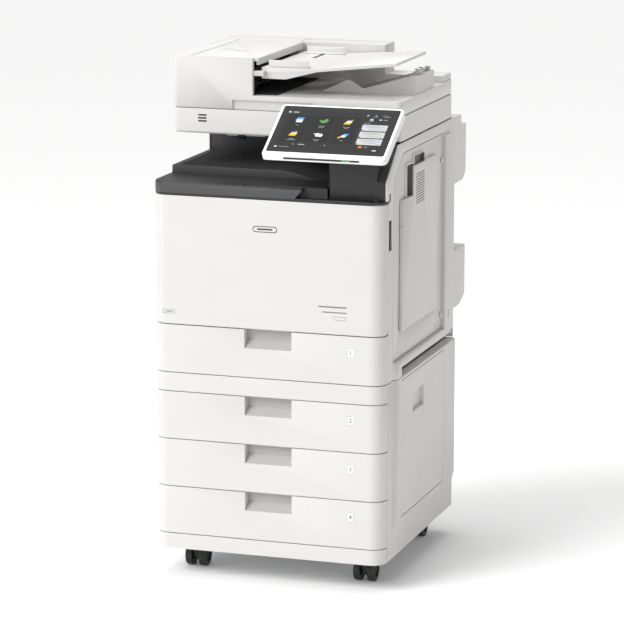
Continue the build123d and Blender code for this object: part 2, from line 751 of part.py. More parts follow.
trim_low = z_trim + gap / 2
shelf_low = z_shelf - skin
with BuildPart() as front_trim:
    with BuildSketch(level(trim_low)) as plan:
        with Locations((body_width / 2, wrap / 2)):
            Rectangle(body_width, wrap)
        fillet(plan.vertices().group_by(Axis.Y)[0], corner_radius)
    extrude(amount=z_shelf - trim_low)
    fillet(front_trim.edges().group_by(Axis.Z)[-1], 2.5)
    with BuildSketch(level(trim_low - 1)) as hollow:
        with Locations((body_width / 2, (wrap + 2 * skin) / 2)):
            Rectangle(body_width - 2 * skin, wrap)
        fillet(hollow.vertices().group_by(Axis.Y)[0], corner_radius - skin)
    extrude(amount=shelf_low - trim_low + 1, mode=Mode.SUBTRACT)
    block((clear, tower_left - clear), (wrap - 6, shelf_depth), (shelf_low, z_shelf))
    # cut back beside and below the control tower, down to a lip
    with BuildSketch(facing(strip_cut_depth)) as cut:
        with BuildLine():
            Polyline((strip_end_low, z_lip), (strip_end_high, z_shelf + 1), (tower_left, z_shelf + 1),
                     (tower_left, z_lip), close=True)
        make_face()
    extrude(cut.sketch, amount=strip_cut_depth + 1, mode=Mode.SUBTRACT)
    block((tower_left - clear, body_width + 1), (-1, wrap + 1), (z_lip, z_shelf + 1), Mode.SUBTRACT)
    block((strip_end_low - 2 * skin, tower_left), (strip_cut_depth, strip_cut_depth + skin),
          (z_lip - skin, shelf_low + 1))
    block((strip_end_low - skin, body_width - corner_radius), (1, wrap), (z_lip - skin, z_lip))
    # end wall that closes the front face's slanted end
    with BuildSketch(facing(strip_cut_depth)) as end_wall:
        with BuildLine():
            Polyline((strip_end_low - skin, z_lip - 1), (strip_end_high - skin, shelf_low + 1),
                     (strip_end_high, shelf_low + 1), (strip_end_low, z_lip - 1), close=True)
        make_face()
    extrude(end_wall.sketch, amount=strip_cut_depth - 1)
    # pocket behind the front edge
    block((pocket_left - skin, pocket_right + skin - 1), (1, strip_cut_depth + 2 * skin),
          (z_shelf - pocket_depth - skin, z_shelf - 1))
    block((pocket_left, pocket_right), (skin + 1, strip_cut_depth + skin),
          (z_shelf - pocket_depth, z_shelf + 1), Mode.SUBTRACT)
save(front_trim, "front_trim")

deck_high = z_shelf + deck_rise
deck_low = deck_high - deck_drop


def deck_profile(drop):
    """Front view of the output tray's surface, level on the left and falling to the right."""
    with BuildLine() as line:
        level_run = Line((skin + clear, deck_high - drop), (deck_level_width, deck_high - drop))
        fall = Spline(level_run @ 1, (tower_left - 60, deck_high - 0.62 * deck_drop - drop),
                      (tower_left - clear, deck_low - drop), tangents=((1, 0), (1, -0.1)))
        Polyline(fall @ 1, (tower_left - clear, deck_low - 12), (skin + clear, deck_low - 12),
                 level_run @ 0)
    return line


with BuildPart() as output_tray:
    with BuildSketch(facing(liner_back - clear)) as top_profile:
        with BuildLine():
            add(deck_profile(0))
        make_face()
    extrude(amount=liner_back - shelf_depth - 2 * clear)
    with BuildSketch(facing(liner_back - clear - skin)) as under_profile:
        with BuildLine():
            add(deck_profile(skin))
        make_face()
        with Locations((body_width / 2, deck_low - 12)):
            Rectangle(2 * body_width, 2 * skin)
    extrude(amount=liner_back - shelf_depth - 2 * clear - 2 * skin, mode=Mode.SUBTRACT)
save(output_tray, "output_tray")

tower_low = z_lip + clear
tower_seat = z_shelf + clear
tower_right = body_width - door_depth - 2
face_right = body_width - skin - clear
tower_face = (tower_front, z_shelf + tower_rise)
bracket_left = body_width + panel_overhang - panel_width / 2 - bracket_width / 2
panel_pivot_y = panel_y - panel_pivot_low * sin(lean) + (panel_thickness + panel_pivot_back) * cos(lean)
panel_pivot_z = (panel_z - panel_pivot_low * cos(lean)
                 - (panel_thickness + panel_pivot_back) * sin(lean))
with BuildPart() as control_tower:
    with BuildSketch(side(tower_left)):
        with BuildLine():
            Polyline((tower_front, tower_low), (frame_front - clear, tower_low),
                     (frame_front - clear, tower_seat),
                     (liner_back, tower_seat), (liner_back, z_scanner - gap), side_slant[1], tower_face,
                     close=True)
        make_face()
    extrude(amount=tower_right - tower_left)
    with BuildSketch(side(tower_right - 1)):
        with BuildLine():
            Polyline((tower_front, tower_low), (tower_front + 10, tower_low),
                     (tower_front + 10, z_shelf + tower_step - 6),
                     (tower_slant_end + 6, z_scanner - gap - 10),
                     (tower_slant_end + 6, z_scanner - gap), side_slant[1], side_slant[0], close=True)
        make_face()
    extrude(amount=face_right - tower_right + 1)
    fillet(edges_at(control_tower, x=tower_left, y=tower_front), 9)
    hollow = (tower_left + skin, tower_right - skin)
    with BuildSketch(side(hollow[0])):
        with BuildLine():
            Polyline((tower_front + skin, tower_low - 1), (frame_front - clear - skin, tower_low - 1),
                     (frame_front - clear - skin, tower_seat - 1), (liner_back - skin, tower_seat - 1),
                     (liner_back - skin, z_scanner - gap - skin),
                     (tower_slant_end + 4, z_scanner - gap - skin),
                     (tower_front + skin, z_shelf + tower_rise - skin), close=True)
        make_face()
    extrude(amount=hollow[1] - hollow[0], mode=Mode.SUBTRACT)
    block((tower_left - 1, tower_left + skin + 1), (shelf_depth + 20, liner_back - 20),
          (deck_high + 4, deck_high + 34), Mode.SUBTRACT)
    block((skin + clear, tower_left + 1), (liner_back, liner_back + skin),
          (z_inner_top + clear, z_scanner - gap))
    block((tower_left, tower_right), (liner_back - 1, liner_back + skin), (tower_seat, z_scanner - gap))
    with BuildSketch(side(bracket_left)):
        with BuildLine():
            Polyline((tower_front + 1, z_shelf + tower_rise - 4),
                     (tower_slant_end - 16, z_scanner - gap - 6),
                     (panel_pivot_y + 10, panel_pivot_z + 4), (panel_pivot_y - 9, panel_pivot_z - 6),
                     close=True)
        make_face()
        with Locations((panel_pivot_y, panel_pivot_z)):
            Circle(panel_knuckle)
            Circle(panel_pin + fit, mode=Mode.SUBTRACT)
    extrude(amount=bracket_width)
save(control_tower, "control_tower")


def panel_plane(depth):
    """Plane parallel to the screen, depth behind its glass, with its y up the panel."""
    middle = at(body_width + panel_overhang - panel_width / 2, panel_y, panel_z)
    normal = Vector(0, -cos(lean), sin(lean))
    return Plane(origin=middle - normal * depth, x_dir=(1, 0, 0), z_dir=normal)


panel_shift = (panel_head - panel_chin) / 2
with BuildPart() as panel_frame:
    with BuildSketch(panel_plane(panel_thickness)):
        with Locations((0, panel_shift)):
            RectangleRounded(panel_width, panel_height, 10)
    extrude(amount=panel_thickness)
    through = Axis(panel_plane(0).origin, panel_plane(0).z_dir)
    fillet(panel_frame.faces().sort_by(through)[-1].edges(), 1.5)
    fillet(panel_frame.faces().sort_by(through)[0].edges(), 6)
    panel_foot = -panel_glass_height / 2 - panel_chin
    panel_side_view = Plane(origin=panel_plane(0).origin - Vector(panel_width, 0, 0),
                            x_dir=(0, sin(lean), cos(lean)), z_dir=(1, 0, 0))
    with BuildSketch(panel_side_view) as taper:
        with BuildLine():
            Polyline((panel_foot - 1, -panel_edge), (panel_foot, -panel_edge),
                     (panel_foot + panel_taper, -panel_thickness),
                     (panel_foot + panel_taper, -2 * panel_thickness),
                     (panel_foot - 1, -2 * panel_thickness), close=True)
        make_face()
    extrude(taper.sketch, amount=2 * panel_width, mode=Mode.SUBTRACT)
    with BuildSketch(panel_plane(2.2)):
        RectangleRounded(panel_glass_width, panel_glass_height, 5)
    extrude(amount=5, mode=Mode.SUBTRACT)
    pivot_back = panel_thickness + panel_pivot_back
    for x in (-bracket_width / 2 - ear_width - clear, bracket_width / 2 + clear):
        with BuildSketch(Plane(origin=panel_plane(0).origin + Vector(x, 0, 0), x_dir=(0, 1, 0),
                         z_dir=(1, 0, 0))):
            with Locations(Location((0, 0, 0), (0, 0, 90 - panel_tilt))):
                with Locations((-panel_pivot_low, -pivot_back + panel_pivot_back / 2 + 1)):
                    Rectangle(2 * panel_knuckle, panel_pivot_back + 2)
                with Locations((-panel_pivot_low, -pivot_back)):
                    Circle(panel_knuckle)
        extrude(amount=ear_width)
    pin = (bracket_left - 5, bracket_left + bracket_width + 5)
    rod((pin[0], panel_pivot_y, panel_pivot_z), (pin[1], panel_pivot_y, panel_pivot_z), panel_pin)
save(panel_frame, "panel_frame")

with BuildPart() as panel_screen:
    with BuildSketch(panel_plane(2.2)):
        RectangleRounded(panel_glass_width - 0.4, panel_glass_height - 0.4, 4.8)
    extrude(amount=2.2)
save(panel_screen, "panel_screen")

# ---------------------------------------------------------------- rear boxes and inlet

with BuildPart() as rear_upper_box:
    with BuildSketch(side(rear_box_left)):
        with BuildLine():
            Polyline((body_depth, upper_box_bottom), (body_depth + rear_box_depth - 24, upper_box_bottom),
                     (body_depth + rear_box_depth, upper_box_bottom + 16),
                     (body_depth + rear_box_depth, upper_box_top),
                     (body_depth + rear_box_depth - 36, upper_box_top),
                     (body_depth + rear_box_depth - 40, upper_box_top + 24),
                     (body_depth, upper_box_top + 24),
                     close=True)
        make_face()
    extrude(amount=rear_box_right - rear_box_left)
    fillet(rear_upper_box.edges().group_by(Axis.X)[-1], 3)
    with BuildSketch(side(rear_box_left + skin)):
        with Locations((body_depth + 34, (upper_box_bottom + upper_box_top) / 2)):
            Rectangle(80, upper_box_top - upper_box_bottom - 20)
    extrude(amount=rear_box_right - rear_box_left - 2 * skin, mode=Mode.SUBTRACT)
save(rear_upper_box, "rear_upper_box")

with BuildPart() as rear_lower_box:
    with BuildSketch(side(rear_box_left)):
        with BuildLine():
            Polyline((body_depth, lower_box_bottom), (body_depth + rear_box_depth - 44, lower_box_bottom),
                     (body_depth + rear_box_depth, lower_box_bottom + 18),
                     (body_depth + rear_box_depth, lower_box_top), (body_depth, lower_box_top), close=True)
        make_face()
    extrude(amount=rear_box_right - rear_box_left)
    fillet(rear_lower_box.edges().group_by(Axis.X)[-1], 3)
    with BuildSketch(side(rear_box_left + skin)):
        with Locations((body_depth + 34, (lower_box_bottom + lower_box_top) / 2 + 6)):
            Rectangle(80, lower_box_top - lower_box_bottom - 30)
    extrude(amount=rear_box_right - rear_box_left - 2 * skin, mode=Mode.SUBTRACT)
save(rear_lower_box, "rear_lower_box")

with BuildPart() as power_inlet:
    block((inlet_x - 13.5, inlet_x + 13.5), (body_depth - 24, body_depth), (inlet_z - 9.5, inlet_z + 9.5))
    block((inlet_x - 11, inlet_x + 11), (body_depth - 17, body_depth + 1), (inlet_z - 7.5, inlet_z + 7.5),
          Mode.SUBTRACT)
    for x, z in ((-7, -2), (0, 2), (7, -2)):
        block((inlet_x + x - 1, inlet_x + x + 1), (body_depth - 18, body_depth - 5),
              (inlet_z + z - 2, inlet_z + z + 2))
save(power_inlet, "power_inlet")

# ---------------------------------------------------------------- inner units

inner = (frame_left + plate + 4, frame_right - plate - 4)
with BuildPart() as toner_bottles:
    for x in bottle_spots:
        rod((x, frame_front - 6, bottle_z), (x, frame_back - 120, bottle_z), bottle_radius)
    fillet(toner_bottles.edges().filter_by(GeomType.CIRCLE), 3)
save(toner_bottles, "toner_bottles")

belt_z = bottle_z - bottle_radius - 44
with BuildPart() as transfer_belt_unit:
    with BuildSketch(facing(frame_back - 90)):
        with Locations((body_width / 2 - 10, belt_z)):
            SlotOverall(340, 52)
    extrude(amount=frame_back - 90 - frame_front - 20)
save(transfer_belt_unit, "transfer_belt_unit")

with BuildPart() as laser_unit:
    block((inner[0] + 40, inner[1] - 60), (frame_front + 20, frame_back - 90), (z_cover + 12, z_cover + 62))
    fillet(edges_at(laser_unit, z=z_cover + 62), 4)
save(laser_unit, "laser_unit")

with BuildPart() as fuser_unit:
    block((inner[1] - 46, inner[1]), (frame_front + 16, frame_back - 60),
          (z_inner_top - 70, z_inner_top - 8))
    fillet(edges_at(fuser_unit, z=z_inner_top - 8), 6)
save(fuser_unit, "fuser_unit")

with BuildPart() as waste_toner_box:
    block((frame_left + 30, frame_right - 60), (frame_front - 16, frame_front), (belt_z - 26, belt_z + 20))
    fillet(edges_at(waste_toner_box, y=frame_front - 16), 4)
save(waste_toner_box, "waste_toner_box")

with BuildPart() as drive_motors:
    for x in (150, 250, 350):
        rod((x, frame_back, z_cover + 90), (x, frame_back + 22, z_cover + 90), 22)
save(drive_motors, "drive_motors")

with BuildPart() as control_board:
    block((60, 400), (frame_back + 8, frame_back + 10), (z_inner_top - 110, z_inner_top - 10))
    for x in (110, 190, 270, 350):
        block((x - 16, x + 16), (frame_back + 10, frame_back + 14), (z_inner_top - 76, z_inner_top - 44))
save(control_board, "control_board")

with BuildPart() as power_supply:
    block((200, 400), (frame_back, frame_back + 26), (z_main + 12, z_main + 72))
save(power_supply, "power_supply")

# ---------------------------------------------------------------- scanner

scanner_right = body_width
rail_z = z_scanner + 14
hinge_spots = (scanner_left + hinge_inset, scanner_right - hinge_inset - hinge_width)
hinge_y = scanner_back - hinge_from_back
hinge_z = z_feeder + hinge_rise
with BuildPart() as scanner_housing:
    with BuildSketch(level(z_scanner)) as plan:
        with Locations(((scanner_left + scanner_right) / 2, (scanner_front + scanner_back) / 2)):
            RectangleRounded(scanner_right - scanner_left, scanner_back - scanner_front, scanner_radius)
    extrude(amount=scanner_height)
    fillet(scanner_housing.edges().group_by(Axis.Z)[0], 6)
    fillet(scanner_housing.edges().group_by(Axis.Z)[-1], 1)
    block((scanner_left + 8, scanner_right - 8), (scanner_front + 8, scanner_back - 8),
          (z_scanner + skin, z_feeder - glass_thickness - 2), Mode.SUBTRACT)
    for x, width in ((glass_left, glass_width), (slit_left, slit_width)):
        block((x, x + width), (glass_front, glass_front + glass_depth),
              (z_feeder - glass_thickness, z_feeder + 1),
              Mode.SUBTRACT)
        block((x + 3, x + width - 3), (glass_front + 3, glass_front + glass_depth - 3),
              (z_feeder - 10, z_feeder), Mode.SUBTRACT)
    for y in (glass_front - 20, glass_front + glass_depth + 12):
        block((scanner_left + 6, scanner_right - 6), (y, y + 8), (z_scanner + 1, rail_z))
    for x in hinge_spots:
        with BuildSketch(side(x)):
            with BuildLine():
                Polyline((hinge_y - 9, z_feeder - 2), (hinge_y - 5, hinge_z), (hinge_y + 4, hinge_z),
                         (hinge_y + 5, z_feeder - 2), close=True)
            make_face()
            with Locations((hinge_y, hinge_z)):
                Circle(5)
                Circle(hinge_radius + fit, mode=Mode.SUBTRACT)
        extrude(amount=hinge_width)
save(scanner_housing, "scanner_housing")

with BuildPart() as platen_glass:
    for x, width in ((glass_left, glass_width), (slit_left, slit_width)):
        block((x + 0.2, x + width - 0.2), (glass_front + 0.2, glass_front + glass_depth - 0.2),
              (z_feeder - glass_thickness, z_feeder - 0.2))
save(platen_glass, "platen_glass")

with BuildPart() as scan_carriage:
    y = (glass_front - 24, glass_front + glass_depth + 24)
    block((slit_left - 10, slit_left - 10 + carriage_length), y, (rail_z + clear, z_feeder - 16))
    block((slit_left + 6, slit_left + 16), (y[0] + 30, y[1] - 30), (z_feeder - 17, z_feeder - 12))
save(scan_carriage, "scan_carriage")

# ---------------------------------------------------------------- document feeder

feeder_low = z_feeder + 1.0
feeder_deck = z_feeder + feeder_plate
front = scanner_front
back = scanner_back - 2
feeder_cover_low = z_top - feeder_cover_thickness
feed_pivot_z = feed_level - 12
stop_posts = (fin_front + 60.5, 352.5)
stop_low = feeder_deck + stop_height + clear
stop_pin_z = stop_low + 5
with BuildPart() as feeder_body:
    with BuildSketch(level(feeder_low)) as plan:
        with Locations(((scanner_left + scanner_right) / 2, (front + back) / 2)):
            RectangleRounded(scanner_right - scanner_left, back - front, scanner_radius)
    extrude(amount=feeder_deck - feeder_low)
    with BuildSketch(level(feeder_low)) as block_plan:
        with Locations(((scanner_left + block_right) / 2, (front + back) / 2)):
            Rectangle(block_right - scanner_left, back - front)
        fillet(block_plan.vertices().group_by(Axis.X)[0], scanner_radius)
    extrude(amount=z_top - feeder_low)
    block((block_right - 40, rear_wall_right), (rear_wall_front, back), (feeder_deck - 1, z_top - 1))
    block((rear_wall_right - 1, scanner_right - 4), (rear_wall_front, back),
          (feeder_deck - 1, z_feeder + plateau_rise))
    fillet(edges_at(feeder_body, x=scanner_right - 4, z=z_feeder + plateau_rise), 4)
    # under the deck, and the lift recess along the front
    block((scanner_left + 8, scanner_right - 8), (front + 8, back - 20),
          (feeder_low - 1, feeder_deck - 4), Mode.SUBTRACT)
    block((lift_recess_start, lift_recess_end), (front - 1, front + 5),
          (feeder_low - 1, feeder_low + lift_recess_height),
          Mode.SUBTRACT)
    # paper path inside the block, its cover's seat and its slot to the right
    block((cover_left + skin, block_right + 1), (cover_front + skin, rear_wall_front - skin - 4),
          (feeder_deck + 30, z_top + 1), Mode.SUBTRACT)
    block((cover_left, block_right + 1), (cover_front, rear_wall_front - 4),
          (feeder_cover_low - clear, z_top + 1),
          Mode.SUBTRACT)
    block((cover_left, cover_left + 14), (cover_front, rear_wall_front - 4),
          (feeder_cover_low - 4, z_top + 1),
          Mode.SUBTRACT)
    block((block_right - 36, block_right + 40), (cover_front + skin, rear_wall_front - skin - 4),
          (feeder_deck, feeder_deck + 34), Mode.SUBTRACT)
    # inside of the rear wall
    block((block_right + 6, rear_wall_right - skin), (rear_wall_front + skin, back - 24),
          (feeder_deck - 5, z_top - 4), Mode.SUBTRACT)
    # fins that hold the ejected originals, and the stop block at the right
    for y, lift in ((fin_front, 0), (fin_rear, 3)):
        with BuildSketch(facing(y + fin_thickness)):
            with BuildLine():
                top = Polyline((300, feeder_deck), (353, feeder_deck + 25 + lift),
                               (360, feeder_deck + 27 + lift), (367, feeder_deck + 25 + lift), (387, feeder_deck + 11 + lift),
                               (396, feeder_deck + 10 + lift), (stop_left + 1, feeder_deck + stop_height))
                Polyline(top @ 1, (stop_left + 1, feeder_deck - 1), (300, feeder_deck - 1), top @ 0)
            make_face()
        extrude(amount=fin_thickness)
    block((stop_left, scanner_right - 4), (fin_front, 378), (feeder_deck - 1, feeder_deck + stop_height))
    # posts of the stopper's pin, and ears of the feed tray's pins
    for y in stop_posts:
        block((stop_left + 14, stop_left + 20), (y, y + 5), (stop_low - 1.5, stop_pin_z + 3))
    rod((stop_left + 17, stop_posts[0] - 1, stop_pin_z), (stop_left + 17, stop_posts[1] + 6, stop_pin_z),
        1.5 + fit, Mode.SUBTRACT)
    for y in ((front + 4, feed_front - clear), (feed_rear + clear, rear_wall_front + 1)):
        block((block_right - 1, feed_pivot_x + 4), y, (feed_pivot_z - 5, feed_pivot_z + 5))
    for y in (feed_front - 6, feed_rear):
        rod((feed_pivot_x, y, feed_pivot_z), (feed_pivot_x, y + 6, feed_pivot_z), 2 + fit, Mode.SUBTRACT)
    # hinge notches
    for x in hinge_spots:
        block((x - 1, x + hinge_width + 1), (hinge_y - 11, back + 1), (feeder_low - 1, hinge_z + 8),
              Mode.SUBTRACT)
        rod((x - 6, hinge_y, hinge_z), (x + hinge_width + 6, hinge_y, hinge_z), hinge_radius)
    chamfer(edges_at(feeder_body, y=back, z=feeder_low), 3)
    # shafts of the cover, the feed tray and the roller
    rod((cover_left + 5, cover_front - 4, feeder_cover_low + 3),
        (cover_left + 5, rear_wall_front, feeder_cover_low + 3),
        1.5 + fit, Mode.SUBTRACT)
    for y in (cover_front + skin - 4, rear_wall_front - skin - 5):
        rod((roller_x, y, z_top - 34), (roller_x, y + 5, z_top - 34), shaft_radius + fit, Mode.SUBTRACT)
save(feeder_body, "feeder_body")

with BuildPart() as backing_plate:
    block((slit_left + slit_width + 8, scanner_right - 16), (front + 14, back - 26),
          (feeder_low, feeder_low + 6))
    fillet(edges_at(backing_plate, z=feeder_low), 1)
save(backing_plate, "backing_plate")

with BuildPart() as feeder_cover:
    y = (cover_front + gap / 2, rear_wall_front - 4 - gap / 2)
    block((cover_left + gap, feeder_cover_right), y, (feeder_cover_low, z_top))
    fillet(edges_at(feeder_cover, x=feeder_cover_right, z=z_top), 3)
    fillet(edges_at(feeder_cover, x=cover_left + gap), 2)
    block((feeder_cover_right - 6, feeder_cover_right), (y[0] + 6, y[1] - 6), (z_top - 15, z_top - 4))
    for start in (y[0] - 3, y[1] - 5):
        rod((cover_left + 5, start, feeder_cover_low + 3),
            (cover_left + 5, start + 8, feeder_cover_low + 3), 1.5)
save(feeder_cover, "feeder_cover")

with BuildPart() as feeder_pickup_roller:
    z = z_top - 34
    rod((roller_x, cover_front + skin - 3, z), (roller_x, rear_wall_front - skin - 1, z), shaft_radius)
    middle = (cover_front + rear_wall_front) / 2
    for start in (middle - 40, middle + 10):
        rod((roller_x, start, z), (roller_x, start + 30, z), roller_radius)
save(feeder_pickup_roller, "feeder_pickup_roller")

with BuildPart() as feed_tray:
    with BuildSketch(facing(feed_rear)) as near_part:
        with BuildLine():
            Polyline((feeder_cover_right + 4, feed_level - feed_thickness),
                     (feed_knee, feed_level - feed_thickness),
                     (feed_knee, feed_level), (feeder_cover_right + 4, feed_level), close=True)
        make_face()
    extrude(amount=feed_rear - feed_front)
    with BuildSketch(facing(feed_rear)) as far_part:
        with BuildLine():
            Polyline((feed_knee - 4, feed_level - feed_thickness), (feed_knee, feed_level - feed_thickness),
                     (feed_right, feed_level + feed_rise - feed_thickness),
                     (feed_right, feed_level + feed_rise),
                     (feed_knee, feed_level), (feed_knee - 4, feed_level), close=True)
        make_face()
    extrude(amount=feed_rear - feed_front)
    with BuildSketch(level(feed_level - 40)) as trimmed_corner:
        with BuildLine():
            Polyline((feed_right + 1, feed_right_rear), (feed_right + 1, feed_rear + 1),
                     (feed_knee + 20, feed_rear + 1), (feed_right - 12, feed_right_rear + 6), close=True)
        make_face()
    extrude(amount=100, mode=Mode.SUBTRACT)
    for y in (feed_front, feed_rear - skin):
        with BuildSketch(facing(y + skin)):
            with BuildLine():
                Polyline((feeder_cover_right + 4, feed_level - 1),
                         (feeder_cover_right + 4, feed_level - feed_skirt),
                         (feed_knee - 70, feed_level - feed_skirt),
                         (feed_knee, feed_level - feed_thickness),
                         (feed_knee, feed_level - 1), close=True)
            make_face()
        extrude(amount=skin)
    for y in (feed_front - 4, feed_rear - 1):
        rod((feed_pivot_x, y, feed_pivot_z), (feed_pivot_x, y + 5, feed_pivot_z), 2)
    for y in (guide_front_y, guide_rear_y - guide_travel - 12):
        block((guide_left + 36, guide_left + 46), (y, y + guide_travel + 12),
              (feed_level - 10, feed_level + 1),
              Mode.SUBTRACT)
save(feed_tray, "feed_tray")

for name, y, reach in (("front", guide_front_y, 1), ("rear", guide_rear_y, -1)):
    with BuildPart() as feed_guide:
        foot = sorted((y, y + reach * 14))
        wall = sorted((y, y + reach * 2))
        block((guide_left, guide_right), foot, (feed_level + clear, feed_level + clear + 2))
        block((guide_left, guide_right), wall, (feed_level + clear, feed_level + guide_height))
        fillet(edges_at(feed_guide, z=feed_level + guide_height, x=guide_right), 0.8)
        block((guide_left + 38, guide_left + 44), sorted((y + reach * 1, y + reach * 9)),
              (feed_level - 5, feed_level + clear + 1))
    save(feed_guide, f"feed_guide_{name}")

with BuildPart() as output_stopper:
    plate_y = (fin_front + 50, 368)
    block((stop_left + 2, stop_left + 12), plate_y, (stop_low, stop_low + 5))
    fillet(edges_at(output_stopper, z=stop_low + 5), 1.5)
    for y, reach in ((stop_posts[0] - 6.5, 1), (stop_posts[1] + 5.5, -1)):
        block((stop_left + 9, stop_left + 19), (y, y + 6), (stop_low, stop_low + 9))
        pin_y = sorted((y + 3, y + 3 + reach * 8.5))
        rod((stop_left + 17, pin_y[0], stop_pin_z), (stop_left + 17, pin_y[1], stop_pin_z), 1.5)
save(output_stopper, "output_stopper")
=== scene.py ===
"""An office copier on a drawer pedestal: finishes, screen, markings and stage around the CAD frame.

Sizes given as plain numbers are millimetres, measured from the body's lower front left corner.
"""

import json
import math

import bmesh
import bpy
from bpy.props import FloatProperty, FloatVectorProperty, IntProperty, PointerProperty
from mathutils import Matrix, Vector


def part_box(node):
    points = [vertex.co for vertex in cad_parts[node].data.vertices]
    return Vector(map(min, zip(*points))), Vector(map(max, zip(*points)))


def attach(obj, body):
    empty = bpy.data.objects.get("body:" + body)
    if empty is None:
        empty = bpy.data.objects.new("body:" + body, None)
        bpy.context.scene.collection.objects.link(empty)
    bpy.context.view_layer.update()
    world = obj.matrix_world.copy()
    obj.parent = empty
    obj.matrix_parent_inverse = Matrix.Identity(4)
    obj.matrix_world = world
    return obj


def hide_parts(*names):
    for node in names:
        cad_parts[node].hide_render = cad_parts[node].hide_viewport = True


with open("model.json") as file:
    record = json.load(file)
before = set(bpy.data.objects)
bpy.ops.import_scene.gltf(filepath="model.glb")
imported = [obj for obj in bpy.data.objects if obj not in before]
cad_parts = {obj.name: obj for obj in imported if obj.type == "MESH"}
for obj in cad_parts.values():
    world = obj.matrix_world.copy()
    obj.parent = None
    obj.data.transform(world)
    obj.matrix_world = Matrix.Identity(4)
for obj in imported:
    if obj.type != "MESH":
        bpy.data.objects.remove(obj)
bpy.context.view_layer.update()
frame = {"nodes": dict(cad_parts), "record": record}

bl_info = {
    "name": "Office Copier",
    "version": (1, 0, 0),
    "blender": (4, 5, 0),
    "location": "3D View > Sidebar > Copier",
    "description": "Finishes and fine parts of a floor-standing office copier",
    "category": "Object",
}

MM = 0.001
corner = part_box("drawer_front_1")[0]
body_width = (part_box("drawer_front_1")[1].x - corner.x) / MM


def at(x, y, z):
    """Point in metres from millimetres off the body's left side, its front face and the floor."""
    return Vector((corner.x + x * MM, corner.y + y * MM, z * MM))


ACROSS, DEEP, UP = Vector((1, 0, 0)), Vector((0, 1, 0)), Vector((0, 0, 1))


def top_of(node):
    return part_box(node)[1].z / MM


def foot_of(node):
    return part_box(node)[0].z / MM


# ---------------------------------------------------------------- settings


def colour(name, description, value):
    return FloatVectorProperty(name=name, description=description, default=value, subtype="COLOR",
                               size=3, min=0, max=1)


class CopierFinish(bpy.types.PropertyGroup):
    white: colour("White covers", "Outer covers and doors", (0.66, 0.652, 0.642))
    black: colour("Black covers", "Output space and tower", (0.026, 0.024, 0.025))
    trim: colour("Grey strip", "Strip above the front cover", (0.064, 0.064, 0.067))
    tray: colour("Tray grey", "Paper drawers' insides", (0.36, 0.37, 0.38))
    steel: colour("Plated steel", "Inner frames", (0.56, 0.57, 0.57))
    grain: FloatProperty(name="Grain", description="Width of the moulded grain", default=0.0011,
                         unit="LENGTH")
    relief: FloatProperty(name="Relief", description="Strength of the moulded grain", default=0.10,
                          min=0, max=1)


class CopierSizes(bpy.types.PropertyGroup):
    edge: FloatProperty(name="Edge", description="Rounding of the covers' edges", default=0.0005,
                        unit="LENGTH")
    label_width: FloatProperty(name="Label width", description="Drawer number label", default=0.015,
                               unit="LENGTH")
    label_height: FloatProperty(name="Label height", description="Drawer number label", default=0.019,
                                unit="LENGTH")
    ribs: IntProperty(name="Ribs", description="Fine ribs on the output tray", default=34, min=2)


class CopierStage(bpy.types.PropertyGroup):
    floor: colour("Floor", "Floor and backdrop", (0.96, 0.96, 0.957))
    lens: FloatProperty(name="Lens", description="Camera's focal length in mm", default=183.08)
    camera_yaw: FloatProperty(name="Yaw", description="Camera's turn to the left",
                              default=math.radians(18.23), subtype="ANGLE")
    camera_pitch: FloatProperty(name="Pitch", description="Camera's look down",
                                default=math.radians(11.68), subtype="ANGLE")
    camera_place: FloatVectorProperty(name="Camera", description="Camera's place", size=3,
                                      default=(2.112, -6.4317, 1.9334), subtype="TRANSLATION")


# ---------------------------------------------------------------- materials


def new_tree(sort, name, inputs, outputs):
    """Empty node group with its sockets, its input node and its output node."""
    tree = bpy.data.node_groups.new(name, sort)
    for side, sockets in (("INPUT", inputs), ("OUTPUT", outputs)):
        for label, kind, *value in sockets:
            socket = tree.interface.new_socket(name=label, in_out=side, socket_type="NodeSocket" + kind)
            if value:
                socket.default_value = value[0]
    return tree, tree.nodes.new("NodeGroupInput"), tree.nodes.new("NodeGroupOutput")


def math_node(tree, operation, *values):
    """Math node whose inputs are numbers or sockets."""
    made = tree.nodes.new("ShaderNodeMath")
    made.operation = operation
    for socket, value in zip(made.inputs, values):
        if isinstance(value, (int, float)):
            socket.default_value = value
        else:
            tree.links.new(value, socket)
    return made.outputs[0]


def noise_node(tree, place, scale, detail=None):
    """Noise texture read at a place."""
    made = tree.nodes.new("ShaderNodeTexNoise")
    made.inputs["Scale"].default_value = scale
    if detail is not None:
        made.inputs["Detail"].default_value = detail
    tree.links.new(place, made.inputs["Vector"])
    return made.outputs["Fac"]


def tint_node(tree, factor, low, high):
    """Colour between two colours, by a mask."""
    made = tree.nodes.new("ShaderNodeMix")
    made.data_type = "RGBA"
    made.inputs["A"].default_value = (*low, 1)
    made.inputs["B"].default_value = (*high, 1)
    tree.links.new(factor, made.inputs["Factor"])
    return made.outputs["Result"]


def range_node(tree, value, low, high):
    """Number between two numbers, by a mask."""
    made = tree.nodes.new("ShaderNodeMapRange")
    made.inputs["To Min"].default_value = low
    made.inputs["To Max"].default_value = high
    tree.links.new(value, made.inputs["Value"])
    return made


